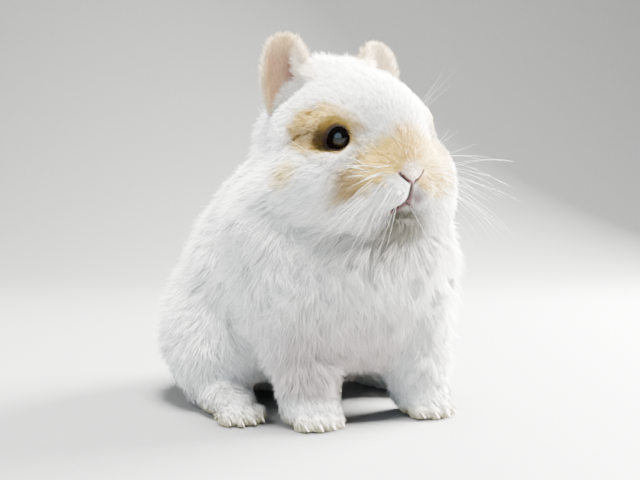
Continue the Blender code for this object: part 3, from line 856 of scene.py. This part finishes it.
def nodeMaker(tree):
    # gives a function that adds a wired node and returns one of its outputs
    def add(kind, wires=None, key=0, **settings):
        made = tree.nodes.new(kind)
        for name, value in settings.items():
            setattr(made, name, value)
        wire(made, wires or {})
        return socketOf(made.outputs, key)

    return add


coatInputs = {  # sizes in metres, densities per square metre
    "Geometry": ("Skin",),
    "Float": ("Density", "Tuft Density", "Hair Width", "Gather", "Bend", "Stray", "Twist"),
    "Int": ("Seed",),
    "Object": ("Hair",),
    "Material": ("Finish",),
}
hairPath = {  # by the share t along a hair: along the lie and off the skin, by t and t squared
    "forward": (0.86, 0.1),
    "rise": (1.5, -0.6),
    "looseRise": 0.7,
    "tuftRise": 0.2,
    "length": (0.5, 0.72),  # how much it varies, and the least
}


def combedCoatTree():
    # scatters hairs over a patch of skin, bends them along the lie of the coat,
    # and gathers their tips into tufts
    tree = bpy.data.node_groups.new("combedCoat", "GeometryNodeTree")
    for kind, names in coatInputs.items():
        for name in names:
            tree.interface.new_socket(name, in_out="INPUT", socket_type="NodeSocket" + kind)
    tree.interface.new_socket("Coat", in_out="OUTPUT", socket_type="NodeSocketGeometry")
    add = nodeMaker(tree)
    given = add("NodeGroupInput").node.outputs

    def named(name, kind="FLOAT_VECTOR"):
        return add("GeometryNodeInputNamedAttribute", {"Name": name}, data_type=kind)

    def vector(operation, *values, **scale):
        wires = dict(enumerate(values)) | scale
        return add("ShaderNodeVectorMath", wires, operation=operation)

    def scaled(value, scale):
        return vector("SCALE", value, Scale=scale)

    def number(operation, *values):
        return add("ShaderNodeMath", dict(enumerate(values)), operation=operation)

    def plus(one, two):
        return number("ADD", one, two)

    def minus(one, two):
        return number("SUBTRACT", one, two)

    def times(one, two):
        return number("MULTIPLY", one, two)

    def noted(geometry, name, value):
        wires = {"Geometry": geometry, "Name": name, "Value": value}
        kinds = {"data_type": "FLOAT_VECTOR", "domain": "POINT"}
        return add("GeometryNodeStoreNamedAttribute", wires, **kinds)

    def randomVector(least, most, offset):
        wires = {"Min": (least,) * 3, "Max": (most,) * 3, "Seed": plus(given["Seed"], offset)}
        return add("FunctionNodeRandomValue", wires, "Value", data_type="FLOAT_VECTOR")

    def scattered(density, offset):
        thick = times(named("cover", "FLOAT"), density)
        wires = {"Mesh": given["Skin"], "Density": thick, "Seed": plus(given["Seed"], offset)}
        return add("GeometryNodeDistributePointsOnFaces", wires, "Points")

    def axes(value):
        return add("ShaderNodeSeparateXYZ", {0: value}).node.outputs

    here = add("GeometryNodeInputPosition")
    roots = scattered(given["Density"], 0)
    tufts = scattered(given["Tuft Density"], 50)
    nearest = add("GeometryNodeSampleNearest", {"Geometry": tufts, "Sample Position": here})

    def fromTuft(value):
        wires = {"Geometry": tufts, "Value": value, "Index": nearest}
        return add("GeometryNodeSampleIndex", wires, data_type="FLOAT_VECTOR")

    roots = noted(roots, "tuftRoot", fromTuft(here))
    roots = noted(roots, "tuftDice", fromTuft(randomVector(-1, 1, 70)))
    roots = noted(roots, "dice", randomVector(0, 1, 90))
    roots = noted(roots, "root", here)
    shape = add("GeometryNodeObjectInfo", {"Object": given["Hair"]}, "Geometry")
    placed = add("GeometryNodeInstanceOnPoints", {"Points": roots, "Instance": shape})
    coatMesh = add("GeometryNodeRealizeInstances", {"Geometry": placed})

    root, outward, along = named("root"), named("outward"), named("lie")
    dice, tuftDice = axes(named("dice")), axes(named("tuftDice"))
    t, across = named("t", "FLOAT"), named("across", "FLOAT")
    squared = times(t, t)
    longer = number("MULTIPLY_ADD", dice[0], *hairPath["length"])
    length = times(named("hairLength", "FLOAT"), longer)
    side = vector("NORMALIZE", vector("CROSS_PRODUCT", outward, along))
    forward, rise = (
        plus(times(t, straight), times(squared, bent))
        for straight, bent in (hairPath["forward"], hairPath["rise"])
    )
    rise = times(rise, named("lift", "FLOAT"))
    looseRise = times(minus(dice[2], 0.4), times(given["Stray"], hairPath["looseRise"]))
    rise = plus(rise, times(looseRise, squared))
    rise = plus(rise, times(times(tuftDice[1], hairPath["tuftRise"]), t))
    loose = times(minus(dice[1], 0.5), given["Stray"])
    sway = times(plus(times(tuftDice[0], given["Bend"]), loose), squared)
    path = vector("ADD", scaled(along, forward), scaled(outward, rise))
    path = vector("ADD", path, scaled(side, sway))
    path = vector("ADD", root, scaled(path, length))
    pull = vector("SUBTRACT", named("tuftRoot"), root)
    path = vector("ADD", path, scaled(pull, times(given["Gather"], squared)))
    angle = times(minus(number("FRACT", times(dice[0], 37.0)), 0.5), 2.0)
    angle = times(angle, given["Twist"])
    flatWay = scaled(side, number("COSINE", angle))
    flatWay = vector("ADD", flatWay, scaled(outward, number("SINE", angle)))
    half = times(times(across, given["Hair Width"]), 0.5)
    path = vector("ADD", path, scaled(flatWay, half))
    bent = add("GeometryNodeSetPosition", {"Geometry": coatMesh, "Position": path})
    finish = {"Geometry": bent, "Material": given["Finish"]}
    finished = add("GeometryNodeSetMaterial", finish)
    wire(tree.nodes.new("NodeGroupOutput"), {0: finished})
    return tree


def hairShape(name, stations):
    # a flat tapering strip: station share of the length, and share of the width
    corners = [(share, wide * sign) for share, wide in stations[:-1] for sign in (-1, 1)]
    corners.append((stations[-1][0], 0.0))
    strips = [(i, i + 1, i + 3, i + 2) for i in range(0, len(corners) - 3, 2)]
    strips.append((len(corners) - 3, len(corners) - 2, len(corners) - 1))
    mesh = bpy.data.meshes.new(name)
    mesh.from_pydata([(wide * 1e-4, share * 1e-3, 0) for share, wide in corners], [], strips)
    store(mesh, "t", [share for share, _ in corners])
    store(mesh, "across", [wide for _, wide in corners])
    made = newObject(name, mesh)
    made.hide_render = made.hide_viewport = True
    return made


hairs = {
    "long": hairShape("longHair", ((0, 0.75), (0.38, 1.0), (0.74, 0.7), (1.0, 0))),
    "short": hairShape("shortHair", ((0, 0.85), (0.55, 0.85), (1.0, 0))),
}


def material(name, roughness):
    made = bpy.data.materials.new(name)
    made.use_nodes = True
    shader = made.node_tree.nodes["Principled BSDF"]
    wire(shader, {"Roughness": roughness})
    return made, nodeMaker(made.node_tree), shader


# each hair is painted darker towards its root, painted shade among the hairs, less on short hair;
# hairs and tufts also vary in tone at random
coatLook = {"rootShade": 0.4, "shortRootShade": 0.72, "hairVariation": 0.26, "tuftVariation": 0.12}
coatLook |= {"roughness": 0.75, "smoothing": 0.5, "sheen": 0.08, "gloss": 0.18}


def coatMaterial():
    made, add, shader = material("hair", coatLook["roughness"])

    def read(name, key="Vector"):
        return add("ShaderNodeAttribute", key=key, attribute_name=name)

    def mapped(*values):
        # a value, the range it comes from, and the range it goes to
        return add("ShaderNodeMapRange", dict(enumerate(values)))

    def times(one, two):
        return add("ShaderNodeMath", {0: one, 1: two}, operation="MULTIPLY")

    vary, tuftVary = coatLook["hairVariation"], coatLook["tuftVariation"]
    chance = add("ShaderNodeSeparateXYZ", {0: read("dice")}).node.outputs[1]
    tuftChance = add("ShaderNodeSeparateXYZ", {0: read("tuftDice")}).node.outputs[2]
    # painted shade: darker towards the root, less so on short hair
    shades = coatLook["shortRootShade"], coatLook["rootShade"]
    rootShade = mapped(read("hairLength", "Fac"), 0.003, 0.008, *shades)
    alongHair = mapped(read("t", "Fac"), 0.0, 0.6, rootShade, 1.0)
    byHair = mapped(chance, 0.0, 1.0, 1.0 - vary, 1.0 + vary * 0.4)
    byTuft = mapped(tuftChance, -1.0, 1.0, 1.0 - tuftVary, 1.0)
    shade = times(times(alongHair, byHair), byTuft)
    wires = {0: read("tone", "Color"), "Scale": shade}
    shaded = add("ShaderNodeVectorMath", wires, operation="SCALE")
    normal = add("ShaderNodeNewGeometry", key="Normal")
    mix = add("ShaderNodeMix", key="Result", data_type="VECTOR")
    wire(mix.node, {"Factor": coatLook["smoothing"], "A": normal, "B": read("faced")})
    soft = add("ShaderNodeVectorMath", {0: mix}, operation="NORMALIZE")
    wires = {"Sheen Weight": coatLook["sheen"], "Specular IOR Level": coatLook["gloss"]}
    wire(shader, wires | {"Base Color": shaded, "Normal": soft})
    return made


def skinMaterial():
    made, add, shader = material("skin", 0.6)
    tone = add("ShaderNodeAttribute", key="Color", attribute_name="skinTone")
    place = add("ShaderNodeTexCoord", key="Object")
    grain = add("ShaderNodeTexNoise", {"Vector": place, "Scale": 1400.0, "Detail": 3.0})
    relief = add("ShaderNodeBump", {"Height": grain, "Strength": 0.25, "Distance": 0.0003})
    wire(shader, {"Base Color": tone, "Normal": relief})
    return made


hairFinish = coatMaterial()
skin.data.materials.clear()
skin.data.materials.append(skinMaterial())

# One piece of coat for each part of the body
longHair = dict(hair="long", tufts=0.2, width=0.20, gather=0.22, bend=0.45, stray=0.65)
shortHair = dict(hair="short", tufts=0.9, width=0.17, gather=0.1, bend=0.2, stray=0.4)
coatPieces = {  # hairs and tufts per square mm, width in mm, the rest as shares
    "muzzleCoat": shortHair | dict(density=18.0, tufts=1.6, width=0.15, stray=0.45),
    "faceCoatRight": shortHair | dict(density=18.0, gather=0.08),
    "faceCoatLeft": shortHair | dict(density=13.0, width=0.19, gather=0.08),
    "crownCoat": longHair | dict(density=8.4, tufts=0.5, gather=0.2, bend=0.35, stray=0.6),
    "earCoat": shortHair | dict(density=17.0, tufts=1.0, bend=0.3, stray=0.7),
    "throatCoat": longHair | dict(density=8.5),
    "chestCoat": longHair | dict(density=8.2, gather=0.24, bend=0.5, stray=0.7),
    "flankCoatRight": longHair | dict(density=6.9, width=0.22),
    "flankCoatLeft": longHair | dict(density=5.2, width=0.28, gather=0.25, bend=0.6, stray=0.75),
    "rumpCoat": longHair | dict(density=3.8, width=0.36, gather=0.25, bend=0.6, stray=0.75),
    "legCoat": shortHair | dict(density=8.0, tufts=0.5, width=0.26, gather=0.15)
    | dict(bend=0.35, stray=0.5),
}
pieceLimit = {"long": 38500, "short": 64000}  # hairs, for just under 200,000 triangles


def pieceOf(points, ear):
    # the coat piece that each point of the skin belongs to, where a later rule wins
    x, y, z = (points / mm).T
    at, onHead = local(points, headFrame), overHeadCut(points) > 0
    onFace = onHead & (at[:, 1] < 2)
    rules = {
        "flankCoatRight": x < 0,
        "flankCoatLeft": x >= 0,
        "rumpCoat": y > 38,
        "chestCoat": y < -14,
        "throatCoat": (y < -14) & (z > 62),
        "legCoat": (z < 24) & (y < 30),
        "crownCoat": onHead,
        "faceCoatRight": onFace & (at[:, 0] < 0),
        "faceCoatLeft": onFace & (at[:, 0] >= 0),
        "muzzleCoat": onHead & (away(at, muzzleSpot) < 15),
        "earCoat": ear["share"] > 0,
    }
    names = np.full(len(points), "rumpCoat", dtype="U20")
    for name, inside in rules.items():
        names[inside] = name
    return names


def skinPatch(name, chosen):
    # a copy of part of the skin, with its own unwrap
    form = bmesh.new()
    form.from_mesh(skin.data)
    form.verts.ensure_lookup_table()
    drop = [f for f in form.faces if not chosen[f.verts[0].index]]
    bmesh.ops.delete(form, geom=drop, context="FACES")
    patch = formObject(name, form)
    bpy.ops.object.select_all(action="DESELECT")
    patch.select_set(True)
    bpy.context.view_layer.objects.active = patch
    patch.data.uv_layers.new(name="skinMap")
    bpy.ops.object.mode_set(mode="EDIT")
    bpy.ops.mesh.select_all(action="SELECT")
    bpy.ops.uv.smart_project(angle_limit=math.radians(66), island_margin=0.004)
    bpy.ops.object.mode_set(mode="OBJECT")
    return patch


hairPatch = 0.0015  # half size of a hair's place in the OFBake map
coatOnly = ("skinMap", "tuftRoot", "root", "across", "lift", "cover", "lie", "outward", "skinTone")


def bakeMap(mesh):
    # each hair is a small patch at its root's place on the skin's unwrap
    spots = readAll(mesh.attributes["skinMap"].data, "vector", 2, np.float32)
    t, across = (
        readAll(mesh.attributes[name].data, "value", 1, np.float32) for name in ("t", "across")
    )
    spots = spots + np.stack([across, t * 2 - 1], axis=1) * hairPatch
    for old in list(mesh.uv_layers):
        mesh.uv_layers.remove(old)
    corners = readAll(mesh.loops, "vertex_index", 1, np.int32)
    layer = mesh.uv_layers.new(name="OFBake")
    layer.data.foreach_set("uv", np.clip(spots[corners], 0, 1).astype(np.float32).ravel())
    for name in coatOnly:
        if name in mesh.attributes:
            mesh.attributes.remove(mesh.attributes[name])


combedCoat = combedCoatTree()
sockets = {s.name: s.identifier for s in combedCoat.interface.items_tree if s.in_out == "INPUT"}
names = pieceOf(points, ear)
skinTree = BVHTree.FromObject(skin, bpy.context.evaluated_depsgraph_get())
setPoints(skin.data, points + shift)
total = 0
for seed, (name, look) in enumerate(coatPieces.items()):
    chosen = names == name
    patch = skinPatch(name, chosen)
    area = sum(f.area for f in patch.data.polygons)
    weight = max(float(cover[chosen].mean()), 0.05)
    step = patch.modifiers.new("coat", "NODES")
    step.node_group = combedCoat
    values = {
        "Density": min(look["density"] * 1e6, pieceLimit[look["hair"]] / (area * weight)),
        "Tuft Density": look["tufts"] * 1e6,
        "Hair Width": look["width"] * mm,
        "Gather": look["gather"],
        "Bend": look["bend"],
        "Stray": look["stray"],
        "Twist": coat["twist"],
        "Seed": 10 + seed * 7,
        "Hair": hairs[look["hair"]],
        "Finish": hairFinish,
    }
    for label, value in values.items():
        step[sockets[label]] = value
    patch.data = bakedMesh(patch)
    aboveFloor(patch.data, 0.1)
    bakeMap(patch.data)
    count = triangles(patch.data)
    total += count
    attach(patch, "root")
    print(f"{name}: {area * 1e6:.0f} mm2, {count} triangles")
print("coat triangles:", total)
for shape in hairs.values():
    bpy.data.objects.remove(shape)

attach(skin, "root")
limbs = ("ear", "foreleg", "forepaw", "hind_foot", "thigh")
flesh = ["torso", "neck", "head", "tail"] + [f"{part}_{word}" for part in limbs for word in ears]
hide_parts(*flesh)
for name in (*fields, "tone"):
    skin.data.attributes.remove(skin.data.attributes[name])
skin.data.shade_smooth()


def placedEye(side):
    return Matrix.Translation(Vector(shift)) @ eyeFrame(side)


iris = {"edge": math.pi / 3.4, "fibres": 2500.0, "roughness": 0.05, "refraction": 1.32}
iris["stops"] = (  # share of the way out from the pupil's middle, colour
    (0.0, (0.002, 0.002, 0.003)),
    (0.50, (0.002, 0.002, 0.002)),
    (0.58, (0.004, 0.002, 0.002)),
    (0.85, (0.007, 0.003, 0.002)),
    (0.98, (0.003, 0.002, 0.0015)),
)


def grained(add, colour, scale, detail, low, high):
    # a colour that varies with a fine noise
    place = add("ShaderNodeTexCoord", key="Object")
    grain = add("ShaderNodeTexNoise", {"Vector": place, "Scale": scale, "Detail": detail})
    vary = add("ShaderNodeMapRange", {0: grain, 3: low, 4: high})
    return add("ShaderNodeVectorMath", {0: colour, "Scale": vary}, operation="SCALE")


def eyeMaterial():
    # near-black, with a dark brown iris ring round the pupil, grained with a fine noise
    made, add, shader = material("eye", iris["roughness"])
    out = add("ShaderNodeAttribute", key="Fac", attribute_name="fromPupil")
    ramp = add("ShaderNodeValToRGB", {"Fac": out})
    colours = ramp.node.color_ramp.elements
    while len(colours) < len(iris["stops"]):
        colours.new(0.5)
    for stop, (at, colour) in zip(colours, iris["stops"]):
        stop.position, stop.color = at, (*colour, 1)
    tinted = grained(add, ramp, iris["fibres"], 3.0, 0.7, 1.3)
    wire(shader, {"IOR": iris["refraction"], "Base Color": tinted})
    return made


shine = eyeMaterial()
for side, word in ((1, "left"), (-1, "right")):
    form = bmesh.new()
    bmesh.ops.create_uvsphere(form, u_segments=64, v_segments=40, radius=eye["radius"] * mm)
    form.verts.ensure_lookup_table()
    towards = [max(-1, min(1, v.co.z / v.co.length)) for v in form.verts]
    form.transform(placedEye(side))
    ball = formObject("eyeball_" + word, form, shine)
    store(ball.data, "fromPupil", np.clip([math.acos(c) / iris["edge"] for c in towards], 0, 1))
    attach(ball, "root")
    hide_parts("eye_" + word)


def plainMaterial(name, colour, roughness):
    made, add, shader = material(name, roughness)
    wire(shader, {"Base Color": grained(add, colour, 300.0, 2.0, 0.9, 1.1)})
    return made


def lidRims():
    # the thin bare edge of the lids, a little thicker above
    form = bmesh.new()
    around, tube = 64, 8
    for side in (1, -1):
        place = placedEye(side)
        rows = []
        for i in range(around):
            a = 2 * math.pi * i / around
            mid = Vector((lids["halfLength"] * math.cos(a), lids["halfHeight"] * math.sin(a), 0))
            mid /= float(lidOut(mid.x, mid.y, side))
            out = mid.normalized()
            mid.z = math.sqrt(eye["radius"] ** 2 - mid.length_squared) + lids["stand"]
            thick = lids["rim"] * (1.0 + 0.25 * math.sin(a))
            row = []
            for j in range(tube):
                b = 2 * math.pi * j / tube
                spot = mid + (out * math.cos(b) + Vector((0, 0, math.sin(b)))) * thick
                row.append(form.verts.new(place @ (spot * mm)))
            rows.append(row)
        for one, two in zip(rows, rows[1:] + rows[:1]):
            for j in range(tube):
                k = (j + 1) % tube
                form.faces.new((one[j], two[j], two[k], one[k]))
    bmesh.ops.recalc_face_normals(form, faces=form.faces)
    finish = plainMaterial("lidRim", (0.025, 0.014, 0.012), 0.6)
    made = formObject("lidRims", form, finish)
    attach(made, "root")


lidRims()

whiskers = {  # by place, in the head's frame: number, middle, spread, lengths in mm, then the
    # degrees from straight down to straight up, how far forward, and droop as shares
    "pad": (30, (11.5, -26.0, -9.5), (6.5, 3.0, 5.0), (22, 42), (12.0, 128.0), -0.34, 0.2),
    "brow": (5, (21.0, -13.0, 14.0), (2.0, 2.5, 1.0), (13, 20), (120.0, 172.0), -0.35, -0.12),
    "cheek": (3, (33.0, -14.0, -1.0), (1.5, 3.0, 2.5), (14, 22), (95.0, 130.0), 0.1, 0.05),
}
whiskerLook = {"thick": 0.038, "floor": 4.0, "seed": 5, "colour": (0.88, 0.87, 0.84)}
whiskerLook["room"] = (11.0, 5.0, 11.0)  # how far past the solids they may reach, by axis


def whiskerSplines(tree, dice):
    # low inner roots point down, high outer ones up and aside, and each bends as it falls away
    low, high = (np.array(corner) for corner in solidBounds)
    for name, (count, at, spread, lengths, fan, forward, droop) in whiskers.items():
        for side in [1] * count + [-1] * count:
            scatter = dice.uniform(-1, 1, 3)
            root = np.array(mirrored(at, side)) + scatter * np.array(spread)
            found = tree.find_nearest(headFrame @ Vector(root * mm))[0]
            root = np.array((headFrame.inverted() @ found) / mm)
            share = 0.5 + 0.24 * side * scatter[0] + 0.26 * scatter[2]
            share = min(max(share + dice.uniform(-0.12, 0.12), 0), 1)
            angle = math.radians(fan[0] + (fan[1] - fan[0]) * share)
            ahead = forward + dice.uniform(-0.15, 0.15)
            out = np.array((side * math.sin(angle), ahead, -math.cos(angle)))
            out = out / np.linalg.norm(out)
            length = dice.uniform(*lengths)
            while True:
                spots = []
                for along in np.linspace(0, 1, 12):
                    fall = np.array((0, 0.5 * droop, -droop)) * along**2
                    spot = root + (out * (along - 0.02) + fall) * length
                    spots.append(headFrame @ Vector(spot * mm))
                tip = np.array(spots[-1]) + shift
                past = np.maximum(low - tip, tip - high) / mm - np.array(whiskerLook["room"])
                if past.max() < 0 and tip[2] > whiskerLook["floor"] * mm:
                    break
                length *= 0.92
            yield spots, (1.0 if name == "pad" else 0.7)


lashes = {"count": 26, "length": (2.2, 3.8), "thick": 0.06, "colour": (0.16, 0.11, 0.07)}


def lashSplines(dice):
    for side in (1, -1):
        place = eyeFrame(side)
        for i in range(lashes["count"]):
            least, most = (0.15, 0.95) if i % 3 else (1.15, 1.85)  # most of them on the upper lid
            a = dice.uniform(least, most) * math.pi
            x, y = lids["halfLength"] * math.cos(a), lids["halfHeight"] * math.sin(a)
            x, y = np.array((x, y)) / lidOut(x, y, side)
            z = math.sqrt(eye["radius"] ** 2 - x * x - y * y)
            out = Vector((math.cos(a) * 0.75, math.sin(a) * 0.45 - 0.1, 0.75)).normalized()
            length = dice.uniform(*lashes["length"])
            spots = []
            for share in np.linspace(0, 1, 6):
                drop = Vector((0, -0.35, -0.1)) * share**2
                spots.append(place @ ((Vector((x, y, z)) + (out * share + drop) * length) * mm))
            yield spots, 0.5


def fineTubes(name, splines, thick, finish):
    curve = bpy.data.curves.new(name, "CURVE")
    curve.dimensions = "3D"
    curve.bevel_depth, curve.bevel_resolution = thick * mm, 1
    curve.use_fill_caps = True
    for spots, width in splines:
        line = curve.splines.new("POLY")
        line.points.add(len(spots) - 1)
        for i, (point, spot) in enumerate(zip(line.points, spots)):
            point.co = (*(spot + Vector(shift)), 1)
            point.radius = width * (1.0 - 0.85 * i / (len(spots) - 1))
    guide = newObject(name, curve)
    mesh = bakedMesh(guide)
    bpy.data.objects.remove(guide)
    form = bmesh.new()
    form.from_mesh(mesh)
    bmesh.ops.remove_doubles(form, verts=form.verts, dist=0.000002)
    made = formObject(name, form, finish)
    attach(made, "root")


claws = {"length": 3.4, "radius": 0.65, "tip": 0.12, "colour": (0.60, 0.48, 0.40)}


def toeClaws():
    # short horn-coloured claws that just show between the toes' hairs
    form = bmesh.new()
    turn = Vector((0, -1, -0.45)).to_track_quat("Z", "Y").to_matrix().to_4x4()
    for at in toeSpots():
        tip = at + Vector((0, -(toe["halfSizes"][1] + 0.4), -1.2)) * mm
        bmesh.ops.create_cone(
            form,
            segments=10,
            radius1=claws["radius"] * mm,
            radius2=claws["tip"] * mm,
            depth=claws["length"] * mm,
            cap_ends=True,
            matrix=Matrix.Translation(tip + Vector(shift)) @ turn,
        )
    made = formObject("claws", form, plainMaterial("claw", claws["colour"], 0.35), smooth=False)
    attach(made, "root")


print("whiskers, lashes and claws")
dice = np.random.default_rng(whiskerLook["seed"])
whiskerFinish = plainMaterial("whisker", whiskerLook["colour"], 0.35)
fineTubes("whiskers", whiskerSplines(skinTree, dice), whiskerLook["thick"], whiskerFinish)
lashFinish = plainMaterial("lash", lashes["colour"], 0.5)
fineTubes("lashes", lashSplines(dice), lashes["thick"], lashFinish)
toeClaws()

print("stage")
stageLook = {"floor": (0.13, 0.13, 0.128), "radius": 0.7, "front": -1.2, "wall": 1.3}
stageLook |= {"halfWidth": 2.6, "height": 2.6, "turn": -25.0, "steps": 12}


def stagePlane():
    # a pale floor that runs up into a plain backdrop
    form = bmesh.new()
    rows = []
    far, r, wide = stageLook["wall"], stageLook["radius"], stageLook["halfWidth"]
    path = [(stageLook["front"], 0.0), (far - r, 0.0)]
    for i in range(1, stageLook["steps"] + 1):
        a = math.pi / 2 * i / stageLook["steps"]
        path.append((far - r + r * math.sin(a), r - r * math.cos(a)))
    path.append((far, stageLook["height"]))
    turn = Matrix.Rotation(math.radians(stageLook["turn"]), 4, "Z")
    for along, height in path:
        rows.append([form.verts.new(turn @ Vector((x, along, height))) for x in (-wide, wide)])
    for one, two in zip(rows, rows[1:]):
        form.faces.new((one[0], one[1], two[1], two[0]))
    made = formObject("stageFloor", form, plainMaterial("stage", stageLook["floor"], 0.8))


stagePlane()
lights = {  # where from, size, power, colour
    "window": ((0.66, 0.04, 0.42), 0.5, 310.0, (1.0, 0.99, 0.97)),
    "top": ((-0.02, -0.10, 1.1), 0.45, 152.0, (1.0, 1.0, 0.99)),
    "back": ((-0.72, 0.20, 0.70), 0.5, 15.0, (1.0, 1.0, 1.0)),
    "side": ((-0.76, -0.62, 0.16), 0.85, 11.0, (0.66, 0.82, 1.0)),
}
for name, (at, size, power, colour) in lights.items():
    lamp = bpy.data.lights.new(name, "AREA")
    lamp.shape = "DISK"
    lamp.size, lamp.energy, lamp.color = size, power, colour
    holder = newObject(name, lamp)
    holder.location = at
    holder.rotation_euler = (Vector((0, 0, 0.07)) - Vector(at)).to_track_quat("-Z", "Y").to_euler()
world = bpy.data.worlds.new("room")
bpy.context.scene.world = world
world.use_nodes = True
wires = {"Color": (0.86, 0.88, 0.90, 1), "Strength": 0.25}
wire(world.node_tree.nodes["Background"], wires)

view = {"at": (-135.5, -292.1, 72.0), "towards": (0.4226, 0.9063, 0.0), "tilt": -1.2, "lens": 45.0}
sight = bpy.data.cameras.new("view")
sight.lens, sight.sensor_width = view["lens"], 36.0
sight.clip_start, sight.clip_end = 0.02, 20.0
camera = newObject("view", sight)
camera.location = Vector(view["at"]) * mm + Vector(shift)
ahead = Vector(view["towards"]).normalized()
ahead.z = math.tan(math.radians(view["tilt"]))
camera.rotation_euler = ahead.to_track_quat("-Z", "Y").to_euler()
bpy.context.scene.camera = camera
